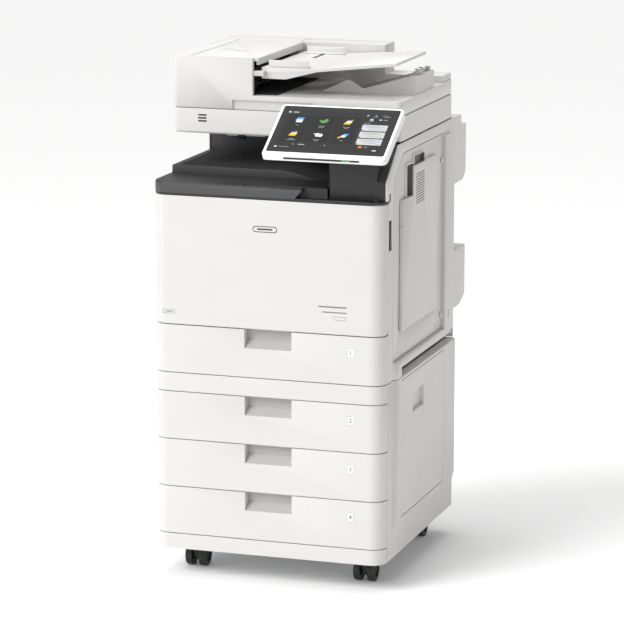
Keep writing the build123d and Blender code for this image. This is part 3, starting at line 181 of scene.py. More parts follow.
def moulded_grain():
    """Fine leathery grain of moulded plastic, with a slow change of tone across the part."""
    tree, start, end = new_tree(
        "ShaderNodeTree", "moulded_grain",
        [("Colour", "Color"), ("Width", "Float", 0.0011), ("Relief", "Float", 0.1),
         ("Roughness", "Float", 0.5), ("Tone", "Float", 0.03)],
        [("Colour", "Color"), ("Roughness", "Float"), ("Normal", "Vector")],
    )
    nodes, links = tree.nodes, tree.links
    place = nodes.new("ShaderNodeTexCoord")
    cells = nodes.new("ShaderNodeTexVoronoi")
    cells.feature = "SMOOTH_F1"
    links.new(place.outputs["Object"], cells.inputs["Vector"])
    links.new(math_node(tree, "DIVIDE", 1, start.outputs["Width"]), cells.inputs["Scale"])
    bump = nodes.new("ShaderNodeBump")
    bump.inputs["Distance"].default_value = 0.0002
    links.new(start.outputs["Relief"], bump.inputs["Strength"])
    links.new(cells.outputs["Distance"], bump.inputs["Height"])
    links.new(bump.outputs[0], end.inputs["Normal"])
    spread = range_node(tree, noise_node(tree, place.outputs["Object"], 7, 5), 0, 1)
    spread.inputs["From Min"].default_value = 0.3
    spread.inputs["From Max"].default_value = 0.7
    links.new(math_node(tree, "SUBTRACT", 1, start.outputs["Tone"]), spread.inputs["To Min"])
    tint = nodes.new("ShaderNodeMix")
    tint.data_type = "RGBA"
    tint.blend_type = "MULTIPLY"
    tint.inputs["Factor"].default_value = 1
    links.new(start.outputs["Colour"], tint.inputs["A"])
    links.new(spread.outputs[0], tint.inputs["B"])
    links.new(tint.outputs["Result"], end.inputs["Colour"])
    speck = math_node(tree, "MULTIPLY_ADD", cells.outputs["Distance"], 0.12, start.outputs["Roughness"])
    links.new(speck, end.inputs["Roughness"])
    return tree


GROUPS = {}
MATERIALS = {}


def group(maker):
    if maker.__name__ not in GROUPS:
        GROUPS[maker.__name__] = maker()
    return GROUPS[maker.__name__]


def new_material(name):
    made = bpy.data.materials.new(name)
    made.use_nodes = True
    return made, made.node_tree.nodes, made.node_tree.links, made.node_tree.nodes["Principled BSDF"]


def moulded(name, base, roughness=0.45, relief=None, width=None, tone=0.03):
    """Moulded plastic with its grain."""
    if name in MATERIALS:
        return MATERIALS[name]
    finish = bpy.context.scene.copier_finish
    made, nodes, links, shader = new_material(name)
    grain = nodes.new("ShaderNodeGroup")
    grain.node_tree = group(moulded_grain)
    grain.inputs["Colour"].default_value = (*base, 1)
    grain.inputs["Width"].default_value = finish.grain if width is None else width
    grain.inputs["Relief"].default_value = finish.relief if relief is None else relief
    grain.inputs["Roughness"].default_value = roughness
    grain.inputs["Tone"].default_value = tone
    links.new(grain.outputs["Colour"], shader.inputs["Base Color"])
    links.new(grain.outputs["Roughness"], shader.inputs["Roughness"])
    links.new(grain.outputs["Normal"], shader.inputs["Normal"])
    MATERIALS[name] = made
    return made


def brushed(name, base, roughness=0.35):
    """Plated sheet steel, streaked along its rolling direction."""
    if name in MATERIALS:
        return MATERIALS[name]
    made, nodes, links, shader = new_material(name)
    place = nodes.new("ShaderNodeTexCoord")
    stretch = nodes.new("ShaderNodeMapping")
    stretch.inputs["Scale"].default_value = (14, 260, 260)
    links.new(place.outputs["Object"], stretch.inputs["Vector"])
    streak = noise_node(made.node_tree, stretch.outputs[0], 2, 6)
    ramp = range_node(made.node_tree, streak, roughness - 0.08, roughness + 0.12)
    links.new(ramp.outputs[0], shader.inputs["Roughness"])
    links.new(tint_node(made.node_tree, streak, [c * 0.86 for c in base], base),
              shader.inputs["Base Color"])
    shader.inputs["Metallic"].default_value = 1
    MATERIALS[name] = made
    return made


def glassy(name, base, roughness=0.06, glow=None, strength=0.0, transmission=0.0, specular=0.5):
    """Smooth glass or gloss ink, faintly smeared, lit from behind where it glows."""
    if name in MATERIALS:
        return MATERIALS[name]
    made, nodes, links, shader = new_material(name)
    place = nodes.new("ShaderNodeTexCoord")
    smear = noise_node(made.node_tree, place.outputs["Object"], 24, 4)
    wipe = range_node(made.node_tree, smear, roughness, roughness + 0.06)
    links.new(wipe.outputs[0], shader.inputs["Roughness"])
    links.new(tint_node(made.node_tree, smear, base, [min(1, c * 1.06 + 0.001) for c in base]),
              shader.inputs["Base Color"])
    shader.inputs["Transmission Weight"].default_value = transmission
    shader.inputs["Specular IOR Level"].default_value = specular
    if glow:
        shader.inputs["Emission Color"].default_value = (*glow, 1)
        shader.inputs["Emission Strength"].default_value = strength
    MATERIALS[name] = made
    return made


def finishes():
    """Materials of the CAD nodes' slots."""
    look = bpy.context.scene.copier_finish
    return {
        "white_plastic": moulded("white_covers", look.white, 0.42),
        "tray_plastic": moulded("grey_tray_plastic", look.tray, 0.5),
        "black_plastic": moulded("black_covers", look.black, 0.46, relief=0.2, tone=0.12),
        "grey_trim": moulded("black_strip", look.black, 0.4, relief=0.2, tone=0.1),
        "screen": glassy("screen_glass", (0.004, 0.004, 0.005), 0.12, specular=0.12),
        "glass": glassy("platen_glass", (0.55, 0.66, 0.63), 0.03, transmission=0.6),
        "steel": brushed("plated_steel", look.steel),
        "screw_steel": brushed("screw_steel", (0.5, 0.5, 0.5), 0.3),
        "dark_unit": moulded("dark_unit_plastic", (0.05, 0.05, 0.055), 0.5, tone=0.15),
        "board": moulded("circuit_board_lacquer", (0.02, 0.13, 0.05), 0.3, relief=0.05, tone=0.2),
        "backing": moulded("white_backing_sheet", (0.86, 0.86, 0.85), 0.35, relief=0.03),
        "roller_rubber": moulded("roller_rubber", (0.045, 0.047, 0.05), 0.75, relief=0.3, width=0.0006),
        "wheel_rubber": moulded("wheel_plastic", (0.014, 0.014, 0.015), 0.42, relief=0.1, tone=0.2),
    }


# ---------------------------------------------------------------- mesh helpers


def placed(name, data):
    """New object for a mesh, curve, light or camera, in the scene."""
    made = bpy.data.objects.new(name, data)
    bpy.context.scene.collection.objects.link(made)
    return made


def link(name, mesh, material):
    piece = placed(name, mesh)
    mesh.materials.clear()
    mesh.materials.append(material)
    return piece


def finished(piece, body, sharp=35):
    """Bakes the modifiers into the mesh, sets its shading and puts it on its body."""
    bpy.context.view_layer.update()
    graph = bpy.context.evaluated_depsgraph_get()
    mesh = bpy.data.meshes.new_from_object(piece.evaluated_get(graph))
    mesh.name = piece.name
    piece.modifiers.clear()
    piece.data = mesh
    mesh.shade_smooth()
    mesh.set_sharp_from_angle(angle=math.radians(sharp))
    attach(piece, body)
    return piece


def mesh_from(name, build):
    """Mesh made by a function that fills a bmesh."""
    work = bmesh.new()
    build(work)
    bmesh.ops.remove_doubles(work, verts=work.verts, dist=1e-6)
    bmesh.ops.recalc_face_normals(work, faces=work.faces)
    mesh = bpy.data.meshes.new(name)
    work.to_mesh(mesh)
    work.free()
    return mesh


def shaped(name, build, material, body):
    """Piece made by a function that fills a bmesh, finished and on its body."""
    return finished(link(name, mesh_from(name, build), material), body)


def prism(work, outline, plane, low, high):
    """Closed solid between two depths of a plane (origin, right, up, out), in metres."""
    origin, right, up, out = plane
    rings = [[work.verts.new(origin + right * (x * MM) + up * (y * MM) + out * (d * MM)) for x, y in outline]
             for d in (low, high)]
    work.faces.new(rings[0][::-1])
    work.faces.new(rings[1])
    count = len(outline)
    for n in range(count):
        work.faces.new((rings[0][n], rings[0][(n + 1) % count], rings[1][(n + 1) % count], rings[1][n]))


def rounded(width, height, radius, centre=(0, 0), steps=5):
    """Outline of a rectangle with round corners, anticlockwise, in mm."""
    points = []
    for sx, sy, turn in ((1, 1, 0), (-1, 1, 90), (-1, -1, 180), (1, -1, 270)):
        for n in range(steps + 1):
            angle = math.radians(turn + 90 * n / steps)
            points.append((centre[0] + sx * (width / 2 - radius) + radius * math.cos(angle),
                           centre[1] + sy * (height / 2 - radius) + radius * math.sin(angle)))
    return points


def front_plane(y=0.0):
    """Plane of the front face, out towards the viewer."""
    return at(0, y, 0), ACROSS, UP, -DEEP


def top_plane(z):
    """Level plane at a height: right is +X, up is towards the back, out is +Z."""
    return at(0, 0, z), ACROSS, DEEP, UP


def side_plane(x):
    """Plane of the right side: right is towards the back, out is +X."""
    return at(x, 0, 0), DEEP, UP, ACROSS


def soften(piece, width):
    """Bevel on the piece's sharp edges."""
    bevel = piece.modifiers.new("edge", "BEVEL")
    bevel.width = width
    bevel.segments = 2
    bevel.limit_method = "ANGLE"
    bevel.angle_limit = math.radians(50)


def refine(node, material, body, edge):
    """Merged copy of a CAD node with softly rounded edges, which stands for it."""
    source = frame["nodes"][node]
    work = bmesh.new()
    work.from_mesh(source.data)
    bmesh.ops.remove_doubles(work, verts=work.verts, dist=2e-6)
    bmesh.ops.dissolve_limit(work, angle_limit=math.radians(0.6), verts=work.verts, edges=work.edges)
    mesh = bpy.data.meshes.new(node + "_cover")
    work.to_mesh(mesh)
    work.free()
    piece = link(node + "_fine", mesh, material)
    if edge:
        soften(piece, edge)
    finished(piece, body)
    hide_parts(node)
    return piece


def panel_place():
    """Plane of the screen's outer face, with its middle and the panel's lean."""
    low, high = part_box("panel_screen")
    thick = SCREEN_THICK * MM
    lean = 1.0
    for _ in range(12):
        lean = math.atan2(high.y - low.y - thick * math.cos(lean), high.z - low.z - thick * math.sin(lean))
    out = Vector((0, -math.cos(lean), math.sin(lean)))
    return ((low + high) / 2 + out * (thick / 2), ACROSS,
            Vector((0, math.sin(lean), math.cos(lean))), out)


def moved(plane, right=0.0, up=0.0, out=0.0):
    """Plane shifted along its own directions, in mm."""
    return (plane[0] + (plane[1] * right + plane[2] * up + plane[3] * out) * MM, *plane[1:])


def bar(left, bottom, right, top, radius=0.0):
    """Outline of a rectangle by its sides, in mm."""
    if radius:
        return rounded(right - left, top - bottom, radius, ((left + right) / 2, (bottom + top) / 2))
    return [(left, bottom), (right, bottom), (right, top), (left, top)]


def ring_of(outline, width):
    """Outline pairs of a thin frame: the outline and the same one pulled in by width."""
    middle = Vector([sum(p[n] for p in outline) / len(outline) for n in (0, 1)])
    shrink = [1 - width / max(abs(p[n] - middle[n]) for p in outline) for n in (0, 1)]
    return [(middle.x + (x - middle.x) * shrink[0], middle.y + (y - middle.y) * shrink[1])
            for x, y in outline]


def frame_of(work, outline, width, plane, low, high):
    """Closed thin frame between two depths."""
    origin, right, up, out = plane
    loops = []
    for line, depth in ((outline, low), (outline, high), (ring_of(outline, width), high),
                        (ring_of(outline, width), low)):
        loops.append([work.verts.new(origin + right * (x * MM) + up * (y * MM) + out * (depth * MM))
                      for x, y in line])
    count = len(outline)
    for n in range(4):
        for m in range(count):
            first, second = loops[n], loops[(n + 1) % 4]
            work.faces.new((first[m], first[(m + 1) % count], second[(m + 1) % count], second[m]))


def marks(name, body, material, plane, shapes, low=-0.05, high=0.12):
    """Thin raised shapes on a plane, all in one piece. A shape is an outline or (outline, frame width)."""

    def build(work):
        for shape in shapes:
            if isinstance(shape[1], (int, float)) and isinstance(shape[0], list):
                frame_of(work, shape[0], shape[1], plane, low, high)
            else:
                prism(work, shape, plane, low, high)

    return shaped(name, build, material, body)


def solid(name, body, material, boxes):
    """Boxes by their two x, y and z values in mm, all in one piece."""

    def build(work):
        for x, y, z in boxes:
            prism(work, bar(x[0], z[0], x[1], z[1]), (at(0, y[0], 0), ACROSS, UP, DEEP), 0, y[1] - y[0])

    return shaped(name, build, material, body)


def turned(work, profile, centre, axis, steps=40):
    """Solid turned round an axis from (distance along it, radius) pairs in mm."""
    axis = Vector(axis)
    across = axis.orthogonal().normalized()
    other = axis.cross(across)
    rings = []
    for along, radius in profile:
        if radius < 1e-6:
            rings.append([work.verts.new(centre + axis * (along * MM))])
            continue
        rings.append([work.verts.new(centre + axis * (along * MM)
                                     + (across * math.cos(t) + other * math.sin(t)) * (radius * MM))
                      for t in [2 * math.pi * n / steps for n in range(steps)]])
    for first, second in zip(rings, rings[1:]):
        for n in range(steps):
            m = (n + 1) % steps
            loop = [ring[k % len(ring)] for ring, k in ((first, n), (first, m), (second, m), (second, n))]
            work.faces.new([v for k, v in enumerate(loop) if v not in loop[:k]])


# ---------------------------------------------------------------- node trees for what repeats


def geometry_tree(name, inputs):
    return new_tree("GeometryNodeTree", name, [("Geometry", "Geometry"), *inputs], [("Geometry", "Geometry")])


def realised(tree, copies, start, end):
    """Makes a tree's copies real, gives them its material and ends it."""
    real = tree.nodes.new("GeometryNodeRealizeInstances")
    tree.links.new(copies.outputs[0], real.inputs[0])
    paint = tree.nodes.new("GeometryNodeSetMaterial")
    tree.links.new(real.outputs[0], paint.inputs["Geometry"])
    tree.links.new(start.outputs["Material"], paint.inputs["Material"])
    tree.links.new(paint.outputs[0], end.inputs[0])
    return tree


def row_tree():
    """Repeats the input geometry along a line."""
    tree, start, end = geometry_tree("repeat_in_a_row", [
        ("Count", "Int"), ("Step", "Vector"), ("Material", "Material")])
    nodes, links = tree.nodes, tree.links
    line = nodes.new("GeometryNodeMeshLine")
    links.new(start.outputs["Count"], line.inputs["Count"])
    links.new(start.outputs["Step"], line.inputs["Offset"])
    copies = nodes.new("GeometryNodeInstanceOnPoints")
    links.new(line.outputs[0], copies.inputs["Points"])
    links.new(start.outputs["Geometry"], copies.inputs["Instance"])
    return realised(tree, copies, start, end)


def screw_tree():
    """Puts a cross-headed screw, turned at random, on every point of the input."""
    tree, start, end = geometry_tree("screws_on_points", [
        ("Radius", "Float"), ("Height", "Float"), ("Facing", "Rotation"), ("Seed", "Int"),
        ("Material", "Material")])
    nodes, links = tree.nodes, tree.links
    head = nodes.new("GeometryNodeMeshCone")
    head.inputs["Vertices"].default_value = 32
    links.new(start.outputs["Radius"], head.inputs["Radius Bottom"])
    links.new(start.outputs["Height"], head.inputs["Depth"])
    links.new(math_node(tree, "MULTIPLY", start.outputs["Radius"], 0.72), head.inputs["Radius Top"])
    cutters = nodes.new("GeometryNodeJoinGeometry")
    for long_axis in (0, 1):
        size = nodes.new("ShaderNodeCombineXYZ")
        for axis, factor in ((long_axis, 1.05), (1 - long_axis, 0.26)):
            links.new(math_node(tree, "MULTIPLY", start.outputs["Radius"], factor), size.inputs[axis])
        links.new(math_node(tree, "MULTIPLY", start.outputs["Height"], 0.9), size.inputs[2])
        cube = nodes.new("GeometryNodeMeshCube")
        links.new(size.outputs[0], cube.inputs["Size"])
        lift = nodes.new("GeometryNodeTransform")
        links.new(cube.outputs[0], lift.inputs["Geometry"])
        raised = nodes.new("ShaderNodeCombineXYZ")
        links.new(start.outputs["Height"], raised.inputs[2])
        links.new(raised.outputs[0], lift.inputs["Translation"])
        links.new(lift.outputs[0], cutters.inputs[0])
    cut = nodes.new("GeometryNodeMeshBoolean")
    cut.operation = "DIFFERENCE"
    links.new(head.outputs[0], cut.inputs["Mesh 1"])
    links.new(cutters.outputs[0], cut.inputs["Mesh 2"])
    turn = nodes.new("FunctionNodeRandomValue")
    turn.data_type = "FLOAT"
    turn.inputs[3].default_value = math.pi / 2
    links.new(start.outputs["Seed"], turn.inputs["Seed"])
    spin = nodes.new("ShaderNodeCombineXYZ")
    links.new(turn.outputs[1], spin.inputs[2])
    spun = nodes.new("FunctionNodeEulerToRotation")
    links.new(spin.outputs[0], spun.inputs[0])
    both = nodes.new("FunctionNodeRotateRotation")
    both.rotation_space = "LOCAL"
    links.new(start.outputs["Facing"], both.inputs["Rotation"])
    links.new(spun.outputs[0], both.inputs["Rotate By"])
    copies = nodes.new("GeometryNodeInstanceOnPoints")
    links.new(start.outputs["Geometry"], copies.inputs["Points"])
    links.new(cut.outputs["Mesh"], copies.inputs["Instance"])
    links.new(both.outputs[0], copies.inputs["Rotation"])
    return realised(tree, copies, start, end)


def with_tree(piece, tree, values):
    """Puts a node tree on the piece and sets its inputs by their identifiers."""
    modifier = piece.modifiers.new(tree.name, "NODES")
    modifier.node_group = tree
    keys = {item.name: item.identifier for item in tree.interface.items_tree if item.in_out == "INPUT"}
    for name, value in values.items():
        modifier[keys[name]] = value
    return piece


def in_a_row(name, body, material, build, count, step):
    piece = link(name, mesh_from(name, build), material)
    with_tree(piece, group(row_tree),
              {"Count": count, "Step": [v * MM for v in step], "Material": material})
    return finished(piece, body)


FACING = {"front": (math.pi / 2, 0, 0), "right": (0, math.pi / 2, 0), "rear": (-math.pi / 2, 0, 0)}


def screws(name, body, spots, facing, radius=3.4, height=1.3, seed=3):
    """Screws at the given places in mm, their heads towards one side."""
    mesh = bpy.data.meshes.new(name)
    mesh.from_pydata([at(*spot) for spot in spots], [], [])
    piece = link(name, mesh, finishes()["screw_steel"])
    with_tree(piece, group(screw_tree),
              {"Radius": radius * MM, "Height": height * MM, "Facing": FACING[facing], "Seed": seed,
               "Material": finishes()["screw_steel"]})
    return finished(piece, body)


# ---------------------------------------------------------------- pieces

SCREEN_THICK = 2.2
NODE_SLOT = {part["node"]: part["material_slot"] for part in frame["record"]["subparts"]}
NODE_BODY = {node: body for body, nodes in frame["record"]["behaviour"]["bodies"].items() for node in nodes}
ROUNDED_SLOTS = ("white_plastic", "grey_trim", "black_plastic", "tray_plastic")


class COPIER_OT_covers(bpy.types.Operator):
    """Give every CAD node its finish, and the moulded ones soft edges"""

    bl_idname = "copier.covers"
    bl_label = "Covers and frames"

    def execute(self, context):
        looks = finishes()
        edge = context.scene.copier_sizes.edge
        panel_white = moulded("panel_white", (0.86, 0.86, 0.86), 0.3, relief=0.04, tone=0.01)
        for node, part in frame["nodes"].items():
            look = panel_white if node == "panel_frame" else looks[NODE_SLOT[node]]
            part.data.materials.clear()
            part.data.materials.append(look)
            if NODE_SLOT[node] in ROUNDED_SLOTS:
                piece = refine(node, look, NODE_BODY[node], edge)
        return {"FINISHED"}


# One entry for each key: outlines round the key's middle in mm, ink, and layer above the key
ICONS = (
    (([(-9, -1), (6, -1), (11, 9), (-4, 9)], "blue", 0), ([(-6, -7), (8, -7), (9, 3), (-5, 3)], "white", 1),
     ([(-3, 0), (5, 0), (5, 1), (-3, 1)], "blue", 2)),
    (([(-5, -7), (8, -5), (12, 5), (-1, 3)], "grey", 0),
     ([(-10, 1), (-7, 4), (-3, 0), (6, 8), (9, 6), (-2, -6)], "green", 1)),
    (([(-10, -7), (5, -7), (9, 2), (-6, 2)], "yellow", 0), ([(-4, -2), (7, -1), (8, 6), (-3, 5)], "white", 1),
     ([(2, 3), (9, 4), (10, 8), (4, 8)], "orange", 2), ([(6, 4), (11, 6), (9, 10)], "green", 3)),
    (([(-10, -7), (5, -7), (9, 1), (-7, 1)], "yellow", 0), ([(-7, -1), (5, -1), (8, 5), (-4, 5)], "white", 1),
     ([(-5, 0), (3, 1), (4, 4), (-4, 3)], "orange", 2), ([(3, 3), (7, 5), (6, 9), (2, 7)], "green", 3)),
    (([(-11, 3), (0, 5), (9, 3), (11, -2), (8, -7), (-5, -6), (-7, 0)], "white", 0),
     ([(2, 1), (7, 1), (7, 5), (2, 5)], "green", 1)),
    (([(-3, -3), (8, -3), (12, 7), (1, 7)], "blue", 0), ([(-4, -5), (5, -5), (6, 2), (-3, 2)], "white", 1),
     ([(-12, -8), (-6, -8), (-2, -3), (-7, -2)], "yellow", 2)),
)
# Widths in mm of the bars that stand for each key's words
LABELS = ((7,), (14, 11), (15, 8), (11, 20), (14, 9), (8,))
PANEL_HALF = 74.5  # from the screen's middle down to the panel's lower rim
PANEL_CHIN = 14.0
SCREEN_PARTS = (
    ("light", bar(-112, 52, -107, 57), 2), ("light", bar(-102, 53.2, -90, 55.6), 2),
    ("line", bar(-117, 48.6, 50, 49.2), 2), ("line", bar(52, -62, 52.6, 62), 2),
    ("pale", bar(58, 51, 63, 56), 2), ("pale", bar(76, 52, 80, 56), 2),
    ("pale", bar(72, 48.8, 84, 49.8), 2),
    ("pale", bar(92, 54, 104, 55.2), 2), ("pale", bar(96, 50, 110, 51.4), 2),
    ("light", bar(68, 38, 75, 43.5, 1), 2), ("pale", bar(66, 34.6, 77, 35.8), 2),
    ("light", bar(88, 39, 93, 43, 1), 2), ("pale", bar(96, 40, 106, 42), 2),
    ("pale", bar(58, 28, 72, 29.4), 2), ("line", bar(57, 26, 111, 26.5), 2),
    ("pale", bar(-76, -50, -73, -47), 2), ("light", bar(-64, -49.4, -50, -47.6), 2),
    ("pale", bar(-8, -50, -5, -47), 2), ("line", bar(-117, -53, 50, -52.5), 2),
    ("light", rounded(6, 5, 2, (-110, -57.6)), 2), ("pale", bar(-104, -58.4, -82, -57), 2),
    ("orange", rounded(8, 6.4, 2.2, (69, -48)), 2), ("pale", bar(77, -49, 85, -47), 2),
    ("light", bar(97, -59.4, 106, -55.6, 0.8), 2),
)


class COPIER_OT_panel(bpy.types.Operator):
    """Draw the operation panel's screen contents, its status bar and its keys"""

    bl_idname = "copier.panel"
    bl_label = "Operation panel"

    def execute(self, context):
        body = "operation_panel"
        plane = panel_place()
        inks = {
            "ground": (0.030, 0.030, 0.032), "tile": (0.021, 0.021, 0.022), "line": (0.045, 0.045, 0.048),
            "light": (0.62, 0.63, 0.64), "pale": (0.33, 0.34, 0.35), "blue": (0.10, 0.36, 0.78),
            "green": (0.09, 0.46, 0.07), "yellow": (0.86, 0.56, 0.04), "orange": (0.86, 0.24, 0.05),
            "red": (0.60, 0.13, 0.10), "white": (0.85, 0.86, 0.87), "grey": (0.20, 0.20, 0.21),
        }
        drawn = {ink: [] for ink in inks}

        def draw(ink, outline, layer):
            drawn[ink].append((outline, layer))

        draw("ground", bar(-117, -62, 114, 62, 1), 1)
        for row, top in enumerate((46, 2)):
            for column, left in enumerate((-109, -55.5, -2)):
                draw("tile", bar(left, top - 42, left + 51, top, 1.5), 2)
                middle = (left + 26, top - 17)
                for shape, ink, layer in ICONS[row * 3 + column]:
                    draw(ink, [(middle[0] + x * 0.95, middle[1] + y) for x, y in shape], 3 + layer)
                for line, width in enumerate(LABELS[row * 3 + column]):
                    low = top - 34 - line * 3.6
                    draw("pale", bar(middle[0] - width / 2, low, middle[0] + width / 2, low + 1.4), 3)
        for ink, outline, layer in SCREEN_PARTS:
            draw(ink, outline, layer)
        for card, (top, tint) in enumerate(((24, "blue"), (1.5, "green"), (-21, "blue"))):
            draw("light", bar(57, top - 19.5, 111, top, 1), 3)
            draw("grey", bar(57, top - 19.5, 60.5, top - 15.5), 4)
            draw(tint, bar(66, top - 8.4, 106, top - 7), 4)
            draw("pale", bar(63, top - 4.6, 94, top - 3.4), 4)
            draw("pale", bar(72, top - 14, 98, top - 12.6), 4)
            draw("red" if tint == "green" else "pale", bar(101, top - 17.5, 108, top - 16), 4)
        for ink, shapes in drawn.items():
            look = glassy("screen_" + ink, [c * 0.5 for c in inks[ink]], 0.3, inks[ink], 0.42, specular=0.06)

            def build(work):
                for outline, layer in shapes:
                    prism(work, outline, plane, 0.01, 0.02 + 0.03 * layer)

            finished(link(f"screen_{ink}_parts", mesh_from("screen_" + ink, build), look), body)

        low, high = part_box("panel_frame")
        foot = -(high.x - low.x) / 2 / MM
        lower = moved(plane, up=-PANEL_HALF - PANEL_CHIN)
        edge_face = (lower[0], plane[1], plane[3], -plane[2])
        dark = glassy("status_bar_black", (0.008, 0.008, 0.009), 0.2)
        marks("status_bar", body, dark, edge_face, [bar(foot + 48, -7.6, foot + 211, -2.6, 2)], -0.1, 0.2)
        green = glassy("status_lamp_green", (0.0, 0.42, 0.09), 0.3, (0.0, 0.6, 0.12), 0.55)
        marks("status_lamp", body, green, edge_face, [bar(foot + 172, -6.4, foot + 191, -3.8, 1)], 0.1, 0.3)
        chin = moved(plane, up=-PANEL_HALF - 9.5)
        ink = moulded("faint_print", (0.34, 0.33, 0.33), 0.5, relief=0.02)
        marks("panel_prints", body, ink, chin,
              [bar(x - 2.2, -1, x + 2.2, -0.2) for x in (-56, -2, 51)]
              + [bar(x - 0.5, -0.2, x + 0.5, 1.3) for x in (-56, -2, 51)], -0.05, 0.06)
        return {"FINISHED"}


class COPIER_OT_markings(bpy.types.Operator):
    """Make the drawer numbers, the painted shade in the drawer pulls, the plain marks on the covers and the
    strip's grey face
    """

    bl_idname = "copier.markings"
    bl_label = "Markings"

    def execute(self, context):
        sizes = context.scene.copier_sizes
        look = context.scene.copier_finish
        label = moulded("label_white", (0.84, 0.84, 0.83), 0.35, relief=0.02)
        ink = moulded("dark_print", (0.03, 0.03, 0.032), 0.45, relief=0.02)
        faint = moulded("grey_print", (0.20, 0.20, 0.205), 0.45, relief=0.02)
        front = front_plane()
        wide, tall = sizes.label_width / MM, sizes.label_height / MM
        for number in range(1, 5):
            high = top_of(f"drawer_front_{number}")
            centre = (440, high - 35)
            card = rounded(wide, tall, 2, centre)
            body = f"drawer_{number}"
            marks(f"drawer_label_{number}", body, label, front, [card], -0.1, 0.15)
            marks(f"drawer_label_edge_{number}", body, faint, front, [(card, 0.45)], -0.1, 0.2)
            self.digit(str(number), body, ink, moved(front, centre[0], centre[1]))
            # Bent sheet along each pull's sloping floor and back wall, darker grey than the covers: painted
            # shade inside the pull's recess.
            sheet = [(2.4, high - 39.6), (19.6, high - 21.8), (19.6, high - 1.6), (19.1, high - 1.6),
                     (19.1, high - 21.5), (2.2, high - 39.0)]
            shade = moulded("pull_painted_shade", (0.43, 0.425, 0.42), 0.5, relief=0.05)

            def build(work):
                prism(work, sheet, side_plane(206.3), 0, 103.4)

            shaped(f"drawer_pull_shade_{number}", build, shade, body)
        base = foot_of("front_cover")
        cover = "front_cover"
        emblem = [(rounded(54, 13, 6.4, (252, base + 214)), 1.5), rounded(34, 3.2, 1.5, (252, base + 214))]
        marks("cover_emblem", cover, ink, front, emblem, -0.1, 0.2)
        plate = [bar(369, base + 57, 431, base + 60, 1.4), bar(377, base + 46, 431, base + 48.4, 1.1),
                 (rounded(27, 8, 3.5, (416, base + 35)), 0.7)]
        marks("cover_lines", cover, faint, front, plate, -0.1, 0.15)
        marks("cover_plate", cover, faint, front, [(rounded(27, 8.5, 2, (37.5, base + 27)), 0.6),
                                                  bar(30, base + 26, 45, base + 28)], -0.1, 0.15)
        scanner = front_plane(120)
        level = foot_of("scanner_housing") + 25
        marks("scanner_slots", "copier_body", ink, scanner,
              [bar(62, level + n * 6.4, 81, level + 3.6 + n * 6.4, 1) for n in range(3)], -0.1, 0.1)
        self.strip_face(look)
        return {"FINISHED"}

    def digit(self, text, body, material, plane):
        curve = bpy.data.curves.new("digit_" + text, "FONT")
        curve.body = text
        curve.size = 0.0125
        curve.align_x = "CENTER"
        curve.align_y = "CENTER"
        curve.extrude = 0.00012
        holder = placed("digit_" + text, curve)
        bpy.context.view_layer.update()
        mesh = bpy.data.meshes.new_from_object(holder.evaluated_get(bpy.context.evaluated_depsgraph_get()))
        bpy.data.objects.remove(holder)
        turn = Matrix((plane[1], plane[2], plane[3])).transposed().to_4x4()
        mesh.transform(Matrix.Translation(plane[0] + plane[3] * 0.00018) @ turn)
        finished(link("drawer_digit_" + text, mesh, material), body)

    def strip_face(self, look):
        """Lighter face on the strip above the front cover, round its left corner to a slanted end."""
        top, foot = top_of("front_trim"), foot_of("front_trim")
        low, high = foot + 4.2, top - 2.6
        radius = 32.0
        stations = [(radius - radius * math.cos(t), radius - radius * math.sin(t), math.cos(t), math.sin(t))
                    for t in [math.radians(14 + 76 * n / 14) for n in range(15)]]
        ends = [(x, x, y, nx, ny) for x, y, nx, ny in stations] + [(317.5, 332, 0, 0, 1)]

        def build(work):
            rings = []
            for x_low, x_high, y, nx, ny in ends:
                ring = []
                for x, z, out in ((x_low, low, -0.2), (x_low, low, 0.35), (x_low, low + 0.8, 0.6),
                                  (x_high, high - 0.8, 0.6), (x_high, high, 0.35), (x_high, high, -0.2)):
                    ring.append(work.verts.new(at(x - nx * out, y - ny * out, z)))
                rings.append(ring)
            for first, second in zip(rings, rings[1:]):
                for n in range(6):
                    m = (n + 1) % 6
                    work.faces.new((first[n], first[m], second[m], second[n]))
            work.faces.new(rings[0][::-1])
            work.faces.new(rings[-1])

        grey = moulded("grey_strip_face", look.trim, 0.36, relief=0.12, tone=0.05)
        shaped("strip_face", build, grey, "copier_body")


SIGN_SINK = 0.2  # the cover's top is lowered by this, so that its signs stay inside the box


def shade_grey():
    # Dark grey: painted shade in the door's grip recesses; also used for the stopper's grip pads.
    return moulded("shade_grey", (0.13, 0.13, 0.132), 0.5, tone=0.06)


